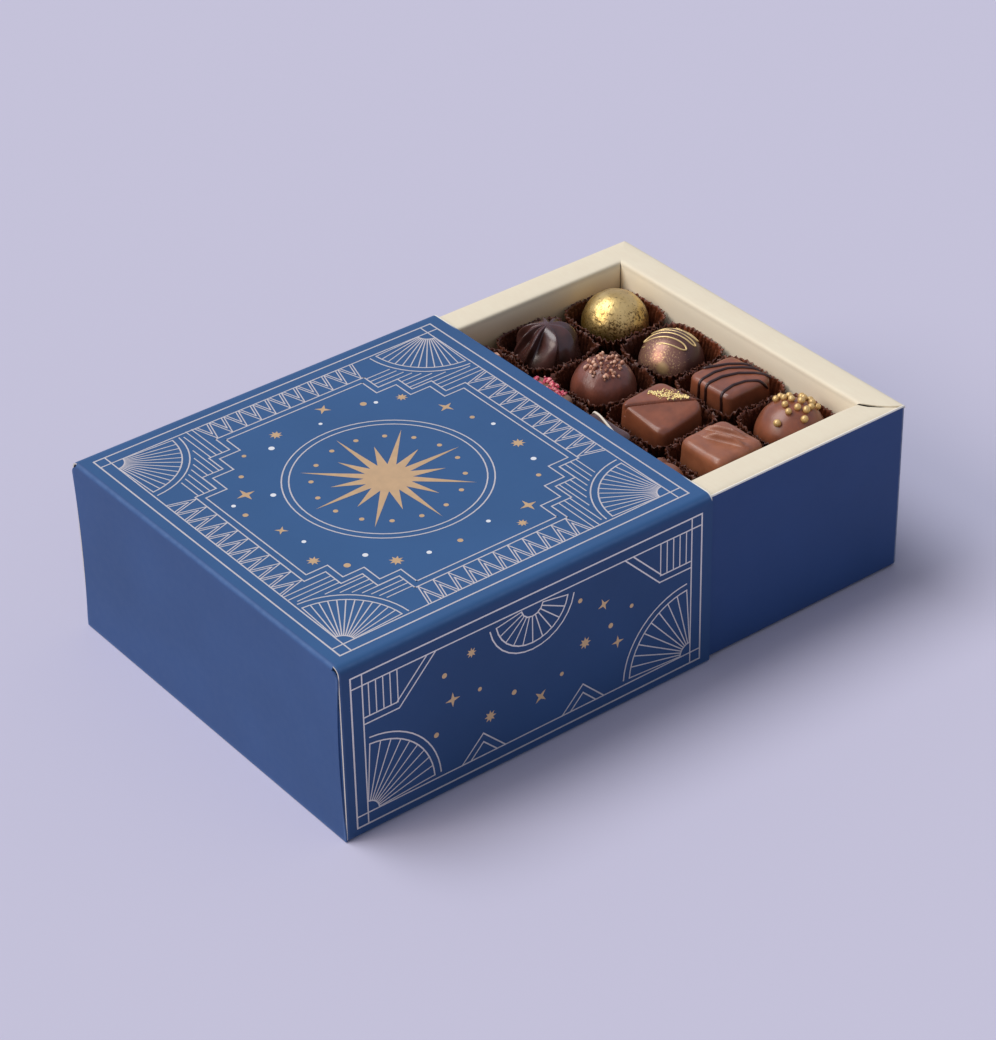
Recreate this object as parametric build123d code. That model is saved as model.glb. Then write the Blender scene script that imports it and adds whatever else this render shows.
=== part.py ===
from build123d import *
import math
import os

# A box of chocolates: a tray with hollow walls that slides out of a sleeve closed at one end.
# Millimetres. +X is the way the tray slides out, +Z is up, and the origin is the middle of the
# sleeve's underside.

# Card and paper
sleeve_board = 0.6
tray_board = 0.6
platform_board = 1.0
cup_paper = 0.25

# Grid of chocolates
columns = 4
rows = 4

# Tray
rim_width = 12.0
tray_height = 67.0
tray_pull_length = 90.0
rim_edge_radius = 1.0
tray_corner_radius = 1.2
tray_base_radius = 1.0
mitre_gap = 0.2
corner_slit = 0.3
tab_length = 22.0
tab_margin = 3.0
tab_slant = 4.0

# Platform that carries the cups
platform_gap = 0.4
platform_fold_radius = 1.4
platform_cutout_width = 60.0
platform_cutout_height = 18.0

# Sleeve
running_gap = 0.3
top_gap = 0.8
top_clearance = 0.5
end_gap = 0.5
top_fold_radius = 3.0
bottom_fold_radius = 1.5
end_fold_radius = 1.5
flap_inset = 0.3
flap_bow = 1.4
lap_width = 15.0
dust_flap_length = 46.0
dust_flap_slant = 8.0
tuck_shortfall = 11.0
tuck_slant = 6.0

# Paper cups
flutes = 32
cup_height = 15.5
cup_flare = 2.8
cup_gap = 0.6
ball_tuck = 0.3
square_clearance = 1.2
base_corner_ease = 0.4
rim_corner_ease = 4.7
base_flute_depth = 0.3
rim_flute_depth = 1.2

# Chocolates
gold_ball_radius = 12.6
crumbed_ball_radius = 12.0
beaded_ball_radius = 12.8
dome_radius = 12.1
nut_ball_radius = 12.0
ball_foot_depth = 0.9
dome_foot_depth = 2.4
square_half = 11.7
square_corner = 2.8
square_choc_height = 22.0
square_taper = 2.5
square_top_radius = 2.0
crease_turn = 57.6
crease_offset = 2.4
crease_step = 0.7
facet_slope = 13.0
pleat_count = 9
pleat_radius = 12.0
pleat_depth = 2.2
pleat_height = 24.0
pleat_tip_radius = 1.2
pleat_twist = 20.0
rosette_count = 7
rosette_radius = 11.8
rosette_depth = 2.6
rosette_height = 22.5
rosette_tip_radius = 2.4
rosette_twist = 60.0

# Toppings
bead_radius = 1.3
bead_count = 16
bead_lean = 18.0
bead_sink = 1.0
crumb_radius = 1.0
crumb_count = 22
crumb_lean = 12.0
berry_radius = 1.0
berry_count = 12
berry_edge_gap = 3.6
berry_zigzag = 1.1
nut_radius = 2.0
nut_count = 4
nut_lean = 15.0
nut_sink = 1.6
topping_sink = 0.5
line_width = 1.1
line_height = 0.5
stripe_count = 4
squiggle_count = 5
line_turn = 72.0
line_edge_gap = 4.6
ridge_turn = -69.0
ridge_width = 3.0
ridge_height = 1.2
ridge_spacing = 4.4
ridge_offset = 5.0

overrun = 1.0

# Sizes that follow
widest_radius = max(gold_ball_radius, crumbed_ball_radius, beaded_ball_radius, dome_radius,
                    nut_ball_radius, pleat_radius, rosette_radius)
round_base_radius = widest_radius - ball_tuck
square_base_half = square_half + square_clearance
cup_rim_half = max(round_base_radius, square_base_half) + cup_flare
cup_pitch = 2 * cup_rim_half + cup_gap
tallest_piece = max(2 * gold_ball_radius - ball_foot_depth,
                    2 * crumbed_ball_radius - ball_foot_depth + 2 * crumb_radius - topping_sink,
                    2 * beaded_ball_radius - dome_foot_depth + 2 * bead_radius - bead_sink,
                    2 * nut_ball_radius - dome_foot_depth + 2 * nut_radius - nut_sink,
                    square_choc_height + 2 * berry_radius, pleat_height, rosette_height + nut_radius)
grid_length = columns * cup_pitch
grid_width = rows * cup_pitch
tray_length = grid_length + 2 * rim_width
tray_width = grid_width + 2 * rim_width
side_gap = sleeve_board + running_gap
end_layers = 3 * sleeve_board
sleeve_length = tray_length + end_gap + end_layers
sleeve_width = tray_width + 2 * side_gap + 2 * sleeve_board
sleeve_height = tray_height + top_gap + 2 * sleeve_board
closed_x = -sleeve_length / 2
open_x = sleeve_length / 2
tray_front_x = open_x + tray_pull_length
tray_x = tray_front_x - tray_length / 2
tray_base_z = sleeve_board
tray_top_z = tray_base_z + tray_height
tray_floor_z = tray_base_z + tray_board
cup_floor_z = sleeve_height - sleeve_board - top_clearance - tallest_piece
platform_top_z = cup_floor_z - cup_paper
golden_angle = 180 * (3 - math.sqrt(5))


def slab(x_low, x_high, y_low, y_high, z_low, z_high):
    """A box between two corners."""
    middle = Pos((x_low + x_high) / 2, (y_low + y_high) / 2, (z_low + z_high) / 2)
    return middle * Box(x_high - x_low, y_high - y_low, z_high - z_low)


def upright_plate(outline, x_low, thickness):
    """A flat plate that faces the closed end, from its outline in Y and Z."""
    points = [(x_low, y, z) for y, z in outline]
    return extrude(make_face(Polyline(*points, close=True)), amount=thickness, dir=(1, 0, 0))


# Sleeve

def sleeve_section(inset):
    """The sleeve's outline across its length, drawn in by an inset."""
    width = sleeve_width - 2 * inset
    height = sleeve_height - 2 * inset
    outline = Plane.YZ.offset(closed_x + sleeve_board) * Pos(0, sleeve_height / 2) * Rectangle(width, height)
    corners = outline.vertices().sort_by(Axis.Z)
    outline = fillet(corners[2:], radius=top_fold_radius - inset)
    corners = [v for v in outline.vertices() if v.Z < sleeve_height / 2]
    return fillet(corners, radius=bottom_fold_radius - inset)


def sleeve_wrap():
    """Top, sides and bottom, one board folded round and glued along the lap."""
    length = sleeve_length - sleeve_board
    wrap = extrude(sleeve_section(0), amount=length) - extrude(sleeve_section(sleeve_board), amount=length)
    fold_half = sleeve_width / 2 - top_fold_radius
    fold_space = slab(closed_x, closed_x + end_fold_radius, -fold_half, fold_half,
                      sleeve_height - end_fold_radius, sleeve_height + overrun)
    return wrap - fold_space


def sleeve_glue_lap():
    """The strip glued inside the far side, which closes the wrap."""
    y_out = sleeve_width / 2 - sleeve_board
    return slab(closed_x + end_layers, open_x, y_out - sleeve_board, y_out,
                bottom_fold_radius, bottom_fold_radius + lap_width)


def sleeve_end_flap():
    """The outer end, folded down from the top panel. Its two side edges are cut slightly hollow."""
    plate_top = sleeve_height - end_fold_radius
    width = sleeve_width - 2 * flap_inset
    outline = Plane.YZ.offset(closed_x) * Pos(0, (plate_top + flap_inset) / 2)
    outline = outline * Rectangle(width, plate_top - flap_inset)
    corners = outline.vertices().sort_by(Axis.Z)
    plate = extrude(fillet(corners[2:], radius=top_fold_radius), amount=sleeve_board)
    middle_z = (plate_top + flap_inset) / 2
    half_edge = (plate_top - flap_inset) / 2 - top_fold_radius
    bow_radius = (half_edge ** 2 + flap_bow ** 2) / (2 * flap_bow)
    for side in (-1, 1):
        bow_y = side * (width / 2 - flap_bow + bow_radius)
        plate = plate - Pos(closed_x, bow_y, middle_z) * Rot(0, 90, 0) * Cylinder(bow_radius, 2 * end_layers)
    fold_width = sleeve_width - 2 * top_fold_radius
    fold = Cylinder(end_fold_radius, fold_width) - Cylinder(end_fold_radius - sleeve_board, fold_width)
    fold = Pos(closed_x + end_fold_radius, 0, plate_top) * Rot(90, 0, 0) * fold
    quarter = slab(closed_x, closed_x + end_fold_radius, -fold_width / 2, fold_width / 2,
                   plate_top, sleeve_height)
    return plate + (fold & quarter)


def sleeve_end_tuck():
    """The inner end, folded up from the bottom panel behind the outer one."""
    half = sleeve_width / 2 - sleeve_board - flap_inset
    tuck_height = sleeve_height - tuck_shortfall
    outline = [(-half, sleeve_board), (half, sleeve_board), (half, tuck_height - tuck_slant),
               (half - tuck_slant, tuck_height), (-half + tuck_slant, tuck_height),
               (-half, tuck_height - tuck_slant)]
    low_round = bottom_fold_radius
    outline[0:2] = [(-half, low_round), (-half + low_round, sleeve_board),
                    (half - low_round, sleeve_board), (half, low_round)]
    return upright_plate(outline, closed_x + sleeve_board, sleeve_board)


def sleeve_dust_flap(side):
    """A small flap folded in from one side panel; side is -1 for the near one and 1 for the far one."""
    root = side * (sleeve_width / 2 - sleeve_board)
    tip = root - side * dust_flap_length
    low = bottom_fold_radius
    high = sleeve_height - top_fold_radius
    outline = [(root, low), (tip, low + dust_flap_slant), (tip, high - dust_flap_slant), (root, high)]
    return upright_plate(outline, closed_x + 2 * sleeve_board, sleeve_board)


# Tray

def tray_shell():
    """Floor and outer walls, one board folded up on four sides."""
    wall_top = tray_top_z - tray_board
    half_x = tray_length / 2
    half_y = tray_width / 2
    outer = slab(-half_x, half_x, -half_y, half_y, tray_base_z, wall_top)
    outer = fillet(outer.edges().filter_by(Axis.Z), radius=tray_corner_radius)
    outer = fillet(outer.faces().sort_by(Axis.Z)[0].edges(), radius=tray_base_radius)
    inner = slab(-half_x + tray_board, half_x - tray_board, -half_y + tray_board, half_y - tray_board,
                 tray_floor_z, wall_top + overrun)
    inner = fillet(inner.edges().filter_by(Axis.Z), radius=tray_corner_radius - tray_board)
    return Pos(tray_x, 0, 0) * (outer - inner)


def tray_flap(span, inner_span, inner_depth, depth):
    """A wall's rim and inner wall, folded over from its outer wall, for a wall that faces +X.

    span and inner_span run along the wall, depth and inner_depth from the tray's middle to its faces.
    """
    rim_low = tray_top_z - tray_board
    outline = [(inner_depth, -inner_span + mitre_gap), (depth, -span + mitre_gap),
               (depth, span - mitre_gap), (inner_depth, inner_span - mitre_gap)]
    points = [(x, y, rim_low) for x, y in outline]
    rim = extrude(make_face(Polyline(*points, close=True)), amount=tray_board, dir=(0, 0, 1))
    edge = rim.edges().group_by(Axis.X)[-1].sort_by(Axis.Z)[-1]
    rim = fillet(edge, radius=min(rim_edge_radius, tray_board * 0.9))
    wall_half = inner_span - corner_slit
    wall = slab(inner_depth, inner_depth + tray_board, -wall_half, wall_half, tray_floor_z, rim_low)
    return rim + wall


def tray_flap_front():
    return Pos(tray_x, 0, 0) * tray_flap(tray_width / 2, grid_width / 2, grid_length / 2, tray_length / 2)


def tray_flap_rear():
    flap = tray_flap(tray_width / 2, grid_width / 2, grid_length / 2, tray_length / 2)
    return Pos(tray_x, 0, 0) * Rot(0, 0, 180) * flap


def tray_flap_side(side):
    """The near or the far wall's rim and inner wall; side is -1 or 1."""
    flap = tray_flap(tray_length / 2, grid_length / 2, grid_width / 2, tray_width / 2)
    return Pos(tray_x, 0, 0) * Rot(0, 0, side * 90) * flap


def tray_corner_tabs():
    """The four tabs glued inside the front and rear outer walls, folded from the side walls' ends."""
    x_out = tray_length / 2 - tray_board
    root = tray_width / 2 - tray_corner_radius
    low = tray_floor_z + tab_margin
    high = tray_top_z - tray_board - tab_margin
    outline = [(root, low), (root - tab_length, low + tab_slant), (root - tab_length, high - tab_slant),
               (root, high)]
    tab = upright_plate(outline, x_out - tray_board, tray_board)
    tabs = [tab, mirror(tab, Plane.XZ), mirror(tab, Plane.YZ), mirror(mirror(tab, Plane.XZ), Plane.YZ)]
    return Pos(tray_x, 0, 0) * Compound(tabs)


def cup_platform():
    """A card folded down on four sides, which holds the cups up in the deep tray."""
    half_x = grid_length / 2 - platform_gap
    half_y = grid_width / 2 - platform_gap
    outer = slab(-half_x, half_x, -half_y, half_y, tray_floor_z, platform_top_z)
    outer = fillet(outer.edges().filter_by(Axis.Z), radius=platform_fold_radius)
    outer = fillet(outer.faces().sort_by(Axis.Z)[-1].edges(), radius=platform_fold_radius)
    inner = slab(-half_x + platform_board, half_x - platform_board,
                 -half_y + platform_board, half_y - platform_board,
                 tray_floor_z - overrun, platform_top_z - platform_board)
    cut_z = tray_floor_z + platform_cutout_height
    half_cut = platform_cutout_width / 2
    cut_x = slab(-half_x - overrun, half_x + overrun, -half_cut, half_cut, tray_floor_z - overrun, cut_z)
    cut_y = slab(-half_cut, half_cut, -half_y - overrun, half_y + overrun, tray_floor_z - overrun, cut_z)
    return Pos(tray_x, 0, 0) * (outer - inner - cut_x - cut_y)


# Paper cups

def ring_point(half, corner, share):
    """A point and its outward direction, a share of the way round a square with rounded corners."""
    straight = 2 * (half - corner)
    side = straight + corner * math.pi / 2
    turns, along = divmod(share * 4 * side, side)
    if along < straight:
        point = Vector(half, along - straight / 2)
        outward = Vector(1, 0)
    else:
        angle = (along - straight) / corner
        outward = Vector(math.cos(angle), math.sin(angle))
        point = Vector(half - corner, half - corner) + outward * corner
    return point.rotate(Axis.Z, turns * 90), outward.rotate(Axis.Z, turns * 90)


def fluted_face(half, corner, depth, inset, z):
    """A face across a fluted cup, whose folds go in by a depth at every other point."""
    points = []
    for step in range(2 * flutes):
        point, outward = ring_point(half, corner, step / (2 * flutes))
        point = point - outward * (inset + depth * (step % 2))
        points.append((point.X, point.Y, z))
    return make_face(Polyline(*points, close=True))


def paper_cup(base_half, base_corner, rim_half, rim_corner):
    """A fluted paper cup, standing on z = 0."""
    outer = loft([fluted_face(base_half, base_corner, base_flute_depth, 0, 0),
                  fluted_face(rim_half, rim_corner, rim_flute_depth, 0, cup_height)], ruled=True)
    inner = loft([fluted_face(base_half, base_corner, base_flute_depth, cup_paper, cup_paper),
                  fluted_face(rim_half, rim_corner, rim_flute_depth, cup_paper, cup_height)], ruled=True)
    return outer - inner


def round_cup():
    return paper_cup(round_base_radius, round_base_radius, cup_rim_half, cup_rim_half)


def square_cup():
    return paper_cup(square_base_half, square_corner + base_corner_ease,
                     cup_rim_half, square_corner + rim_corner_ease)


# Plain chocolates, each standing on z = 0

def ball(radius, foot_depth, grow=0):
    """A ball with a flat foot."""
    whole = Pos(0, 0, radius - foot_depth) * Sphere(radius + grow)
    return whole & slab(-2 * radius, 2 * radius, -2 * radius, 2 * radius, 0, 3 * radius)


def square_block(grow=0):
    """A moulded square with sloping sides and a soft top edge."""
    width = 2 * (square_half + grow)
    foot = RectangleRounded(width, width, square_corner + grow)
    block = extrude(foot, amount=square_choc_height + grow, taper=square_taper)
    return fillet(block.faces().sort_by(Axis.Z)[-1].edges(), radius=square_top_radius + grow)


def star_face(radius, depth, count, turn, z):
    """A star with a point at every pleat."""
    points = []
    for step in range(2 * count):
        angle = math.radians(turn + step * 180 / count)
        reach = radius - depth * (step % 2)
        points.append((reach * math.cos(angle), reach * math.sin(angle), z))
    return make_face(Polyline(*points, close=True))


# How high each section of a pleated piece stands, and how far it reaches from tip size to full size
pleat_height_shares = [0, 0.3, 0.62, 0.84, 1]
pleat_reach_shares = [0.94, 1, 0.74, 0.4, 0]


def pleated_piece(count, radius, depth, height, tip_radius, twist):
    """A piece whose pleats rise to a tip, turned by a twist from foot to tip."""
    faces = []
    for up, out in zip(pleat_height_shares, pleat_reach_shares):
        reach = tip_radius + (radius - tip_radius) * out
        faces.append(star_face(reach, depth * reach / radius, count, twist * up, height * up))
    return loft(faces, ruled=True)


# Toppings

def grains_on_ball(radius, foot_depth, grain, sink, count, cap_share, lean):
    """Round grains sunk a little way into a ball's cap, evenly spread along a spiral."""
    middle_z = radius - foot_depth
    reach = radius + grain - sink
    grains = []
    for step in range(count):
        down = cap_share * (step + 0.5) / count
        out = reach * math.sqrt(1 - (1 - down) ** 2)
        turn = math.radians(golden_angle * step)
        place = Pos(out * math.cos(turn), out * math.sin(turn), reach * (1 - down))
        grains.append(Pos(0, 0, middle_z) * Rot(0, lean, -45) * place * Sphere(grain))
    return Compound(grains)


def grains_on_square(grain, count):
    """Round grains set a little way into a square's top, zigzag along the edge nearest the tray's front."""
    reach = square_half * berry_spread_share
    z = square_choc_height + grain - topping_sink
    grains = []
    for step in range(count):
        x = square_half - berry_edge_gap + berry_zigzag * (1 - 2 * (step % 2))
        y = reach * (2 * step / (count - 1) - 1)
        grains.append(Pos(x, y, z) * Sphere(grain))
    return Compound(grains)


def trailed_band(reach, swing, count, width, low, high):
    """An upright band that runs to and fro in Y, in a number of lines from -reach to reach in X."""
    spacing = 2 * reach / (count - 1)
    points = []
    for line in range(count):
        x = spacing * line - reach
        start = swing * (1 - 2 * (line % 2))
        points += [(x, -start), (x, start)]
    path = FilletPolyline(*points, radius=spacing * turn_radius_share)
    return Pos(0, 0, low) * extrude(trace(path, line_width=width), amount=high - low)


# How far over its piece each topping spreads
bead_cap_share = 0.3
crumb_cap_share = 0.34
nut_cap_share = 0.2
berry_spread_share = 0.62
squiggle_reach_share = 0.5
stripe_reach_share = 0.8
line_reach_share = 0.95
turn_radius_share = 0.45


# Kinds of chocolate; each gives its nodes by name

def gold_leaf_ball(tag):
    return {"gold_leaf_ball" + tag: ball(gold_ball_radius, ball_foot_depth)}


def squiggle_dome(tag):
    """A dark dome with a fine line piped to and fro over its top."""
    dome = ball(dome_radius, dome_foot_depth)
    skin = ball(dome_radius, dome_foot_depth, line_height) - dome
    reach = dome_radius * squiggle_reach_share
    band = trailed_band(reach, reach, squiggle_count, line_width, dome_radius, 3 * dome_radius)
    return {"squiggle_dome" + tag: dome, "dome_squiggle" + tag: Rot(0, 0, 45) * (skin & band)}


def striped_square(tag):
    """A square with dark lines trailed over its top and down its edges."""
    block = square_block()
    skin = square_block(line_height) - block
    reach = square_half * stripe_reach_share
    band = trailed_band(reach, 2 * square_half, stripe_count, line_width,
                        square_choc_height - square_half, 2 * square_choc_height)
    return {"striped_square" + tag: block, "square_stripes" + tag: skin & band}


def lined_square(tag):
    """A dark square with one white line near an edge of its top."""
    block = square_block()
    skin = square_block(line_height) - block
    reach = square_half * line_reach_share
    face = Rectangle(4 * reach, line_width)
    band = Rot(0, 0, line_turn) * Pos(0, line_edge_gap - square_half, 0) * face
    band = extrude(band, amount=2 * square_choc_height)
    flat = slab(-reach, reach, -reach, reach, square_choc_height - square_top_radius, 2 * square_choc_height)
    return {"lined_square" + tag: block, "white_line" + tag: skin & band & flat}


def beaded_ball(tag):
    beads = grains_on_ball(beaded_ball_radius, dome_foot_depth, bead_radius, bead_sink, bead_count,
                           bead_cap_share, bead_lean)
    whole = ball(beaded_ball_radius, dome_foot_depth)
    return {"beaded_ball" + tag: whole - beads, "gold_beads" + tag: beads}


def crumbed_ball(tag):
    crumbs = grains_on_ball(crumbed_ball_radius, ball_foot_depth, crumb_radius, topping_sink, crumb_count,
                            crumb_cap_share, crumb_lean)
    whole = ball(crumbed_ball_radius, ball_foot_depth)
    return {"crumbed_ball" + tag: whole - crumbs, "nut_crumbs" + tag: crumbs}


def nut_ball(tag):
    nuts = grains_on_ball(nut_ball_radius, dome_foot_depth, nut_radius, nut_sink, nut_count,
                          nut_cap_share, nut_lean)
    whole = ball(nut_ball_radius, dome_foot_depth)
    return {"nut_ball" + tag: whole - nuts, "nut_pieces" + tag: nuts}


def berry_square(tag):
    crumbs = grains_on_square(berry_radius, berry_count)
    return {"berry_square" + tag: square_block() - crumbs, "berry_crumbs" + tag: crumbs}


def flaked_square(tag):
    """A square whose near half steps down at a crease across it and slopes away."""
    high = square_choc_height * 2
    above = slab(-high, 0, -high, high, 0, high)
    above = Pos(-crease_offset, 0, square_choc_height - crease_step) * Rot(0, -facet_slope, 0) * above
    return {"flaked_square" + tag: square_block() - Rot(0, 0, crease_turn) * above}


def ridged_square(tag):
    """A square with two soft ridges across its top."""
    block = square_block()
    limit = square_block(ridge_height)
    ridge = slab(-square_half, square_half, -ridge_width / 2, ridge_width / 2,
                 square_choc_height / 2, 2 * square_choc_height)
    for side in (-1, 1):
        across = ridge_offset + side * ridge_spacing / 2
        block = block + (limit & Rot(0, 0, ridge_turn) * Pos(0, across, 0) * ridge)
    return {"ridged_square" + tag: block}


def pleated_peak(tag):
    return {"pleated_peak" + tag: pleated_piece(pleat_count, pleat_radius, pleat_depth,
                                                pleat_height, pleat_tip_radius, pleat_twist)}


def rosette(tag):
    """A piped swirl with half a nut on its tip."""
    swirl = pleated_piece(rosette_count, rosette_radius, rosette_depth,
                          rosette_height, rosette_tip_radius, rosette_twist)
    nut = Pos(0, 0, rosette_height) * Sphere(nut_radius)
    return {"rosette" + tag: swirl - nut, "rosette_nut" + tag: nut}


# What stands where: columns from the tray's front wall, each from the far row to the near row,
# with the kind of chocolate, the end of its nodes' names, its cup and its turn in degrees
layout = [
    [(gold_leaf_ball, "", round_cup, 0), (squiggle_dome, "", round_cup, -20),
     (striped_square, "", square_cup, 2), (beaded_ball, "", round_cup, 0)],
    [(pleated_peak, "", round_cup, 10), (crumbed_ball, "", round_cup, 0),
     (flaked_square, "", square_cup, -2), (ridged_square, "", square_cup, 2)],
    [(nut_ball, "", round_cup, 0), (berry_square, "", square_cup, 0),
     (lined_square, "", square_cup, 2), (rosette, "", round_cup, 0)],
    [(striped_square, "_rear", square_cup, -2), (gold_leaf_ball, "_rear", round_cup, 0),
     (pleated_peak, "_rear", round_cup, 35), (crumbed_ball, "_rear", round_cup, 90)],
]


def filled_cups():
    """Every cup and chocolate of the grid, in its place."""
    cup_shapes = {}
    for shape in (round_cup, square_cup):
        cup_shapes[shape] = shape()
    placed = {}
    for column, kinds in enumerate(layout):
        for row, (kind, tag, cup, turn) in enumerate(kinds):
            x = tray_x + grid_length / 2 - (column + 0.5) * cup_pitch
            y = grid_width / 2 - (row + 0.5) * cup_pitch
            cup_name = f"paper_cup_{column + 1}_{row + 1}"
            placed[cup_name] = Pos(x, y, platform_top_z) * cup_shapes[cup]
            for name, solid in kind(tag).items():
                placed[name] = Pos(x, y, cup_floor_z) * Rot(0, 0, turn) * solid
    return placed


nodes = {
    "sleeve_wrap": sleeve_wrap(),
    "sleeve_glue_lap": sleeve_glue_lap(),
    "sleeve_end_flap": sleeve_end_flap(),
    "sleeve_end_tuck": sleeve_end_tuck(),
    "sleeve_dust_flap_near": sleeve_dust_flap(-1),
    "sleeve_dust_flap_far": sleeve_dust_flap(1),
    "tray_shell": tray_shell(),
    "tray_flap_front": tray_flap_front(),
    "tray_flap_rear": tray_flap_rear(),
    "tray_flap_near": tray_flap_side(-1),
    "tray_flap_far": tray_flap_side(1),
    "tray_corner_tabs": tray_corner_tabs(),
    "cup_platform": cup_platform(),
}
nodes.update(filled_cups())

os.makedirs("parts", exist_ok=True)
for name, solid in nodes.items():
    export_step(solid, f"parts/{name}.step")
print(len(nodes), "nodes; pitch", round(cup_pitch, 3), "and cup floor", round(cup_floor_z, 3))
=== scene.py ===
import math
import random

import bmesh
import bpy
from mathutils import Matrix, Vector, noise


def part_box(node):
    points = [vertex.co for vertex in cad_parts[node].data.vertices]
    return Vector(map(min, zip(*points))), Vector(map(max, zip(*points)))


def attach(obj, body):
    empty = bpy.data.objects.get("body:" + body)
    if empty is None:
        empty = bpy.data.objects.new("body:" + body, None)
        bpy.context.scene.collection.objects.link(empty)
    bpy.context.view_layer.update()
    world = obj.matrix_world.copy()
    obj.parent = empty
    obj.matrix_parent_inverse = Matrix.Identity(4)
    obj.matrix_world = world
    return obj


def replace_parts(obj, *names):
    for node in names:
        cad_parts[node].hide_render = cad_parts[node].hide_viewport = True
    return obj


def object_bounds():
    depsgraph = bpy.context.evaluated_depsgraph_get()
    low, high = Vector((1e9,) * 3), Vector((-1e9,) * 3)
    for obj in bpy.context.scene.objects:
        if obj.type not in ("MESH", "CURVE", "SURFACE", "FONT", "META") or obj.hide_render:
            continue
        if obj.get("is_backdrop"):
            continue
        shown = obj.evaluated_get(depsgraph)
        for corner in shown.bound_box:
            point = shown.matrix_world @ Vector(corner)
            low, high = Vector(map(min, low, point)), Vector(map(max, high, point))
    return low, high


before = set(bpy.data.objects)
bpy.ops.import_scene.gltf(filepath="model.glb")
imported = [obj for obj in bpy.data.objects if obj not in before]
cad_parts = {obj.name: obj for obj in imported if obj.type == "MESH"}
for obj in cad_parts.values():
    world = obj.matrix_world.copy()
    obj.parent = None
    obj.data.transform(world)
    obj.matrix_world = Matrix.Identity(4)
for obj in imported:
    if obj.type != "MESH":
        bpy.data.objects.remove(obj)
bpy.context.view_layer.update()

mm = 0.001


# Camera
# A long lens looks down on the box from in front of the near corner of its closed end, so that the
# plain end, the near side and the top show, with the open tray beyond them.
azimuth, elevation, roll = (math.radians(d) for d in (-37.401, 34.149, -1.208))
camera_back, camera_right, camera_up = 1160.1, 36.614, 42.058
back = Vector((math.sin(azimuth) * math.cos(elevation),
               -math.cos(azimuth) * math.cos(elevation), math.sin(elevation)))
right = (-back).cross(Vector((0, 0, 1))).normalized()
up = back.cross(right)
bpy.ops.object.camera_add(location=(back * camera_back + right * camera_right + up * camera_up) * mm)
camera = bpy.context.object
camera.rotation_mode = "QUATERNION"
level_view = Matrix((right, up, back)).transposed()
camera.rotation_quaternion = (Matrix.Rotation(roll, 3, back) @ level_view).to_quaternion()
camera.data.sensor_width = 36
camera.data.lens = 115.34
camera.data.clip_start, camera.data.clip_end = 0.05, 50
bpy.context.scene.camera = camera


# Floor, world and lamps
# The box stands on a smooth lavender paper sweep, under a broad soft lamp high beyond the closed end's
# far corner. A weaker one low on the left gives the gloss, and an even sky fills the shadows.
def linear(code):
    """The linear colour of an sRGB hex code, fully opaque."""
    shares = [int(code[k:k + 2], 16) / 255 for k in (0, 2, 4)]
    return [s / 12.92 if s <= 0.04045 else ((s + 0.055) / 1.055) ** 2.4 for s in shares] + [1]


def fill(node, inputs):
    """Gives a node's inputs plain values, outputs, or other nodes, which stand for their first live output."""
    for name, value in inputs.items():
        if isinstance(value, bpy.types.Node):
            value = next(output for output in value.outputs if output.enabled)
        if isinstance(value, bpy.types.NodeSocket):
            node.id_data.links.new(value, node.inputs[name])
        else:
            node.inputs[name].default_value = value


def add_node(owner, kind, inputs, **settings):
    """Adds a node with its settings to a material or the world, and fills its inputs."""
    made = owner.node_tree.nodes.new("ShaderNode" + kind)
    for setting, value in settings.items():
        setattr(made, setting, value)
    fill(made, inputs)
    return made


def new_material(name):
    """A material with its shader alone."""
    made = bpy.data.materials.new(name)
    made.use_nodes = True
    return made


def surface(made, values):
    """Gives a material's shader its values."""
    fill(made.node_tree.nodes["Principled BSDF"], values)
    return made


lavender = linear("C6C5DD")
bpy.ops.mesh.primitive_plane_add(size=12)
floor = bpy.context.object
floor.name = "floor"
floor.data.materials.append(surface(new_material("floor_paper"), {
    "Base Color": lavender, "Roughness": 0.9, "Specular IOR Level": 0.1}))
floor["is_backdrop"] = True

world = bpy.data.worlds.new("studio")
bpy.context.scene.world = world
world.use_nodes = True
world.node_tree.nodes.clear()
rays = add_node(world, "LightPath", {})
seen = add_node(world, "Math", {0: rays.outputs["Is Camera Ray"], 1: rays.outputs["Is Glossy Ray"]},
                operation="MAXIMUM")
seen = add_node(world, "Math", {0: seen, 1: rays.outputs["Is Transmission Ray"]}, operation="MAXIMUM")
sky = add_node(world, "Background", {"Color": (0.96, 0.98, 1.06, 1), "Strength": 0.31})
sweep = add_node(world, "Background", {"Color": lavender, "Strength": 1})
add_node(world, "OutputWorld", {"Surface": add_node(world, "MixShader", {0: seen, 1: sky, 2: sweep})})


def soft_lamp(name, direction, breadth, level, colour):
    """A far lamp as broad as an angle in degrees, which adds that share of plain light to a face turned to it."""
    bpy.ops.object.light_add(type="SUN")
    lamp = bpy.context.object
    lamp.name = name
    lamp.data.angle = math.radians(breadth)
    lamp.data.energy = level * math.pi
    lamp.data.color = colour
    lamp.rotation_euler = Vector(direction).to_track_quat("Z", "Y").to_euler()


soft_lamp("high_lamp", (-0.32, 0.46, 1.0), 34, 0.53, (1.0, 1.0, 1.0))
soft_lamp("left_lamp", (-0.77, 0.22, 0.6), 28, 0.37, (1.0, 0.88, 0.78))
bpy.context.scene.view_settings.view_transform = "Standard"


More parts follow.
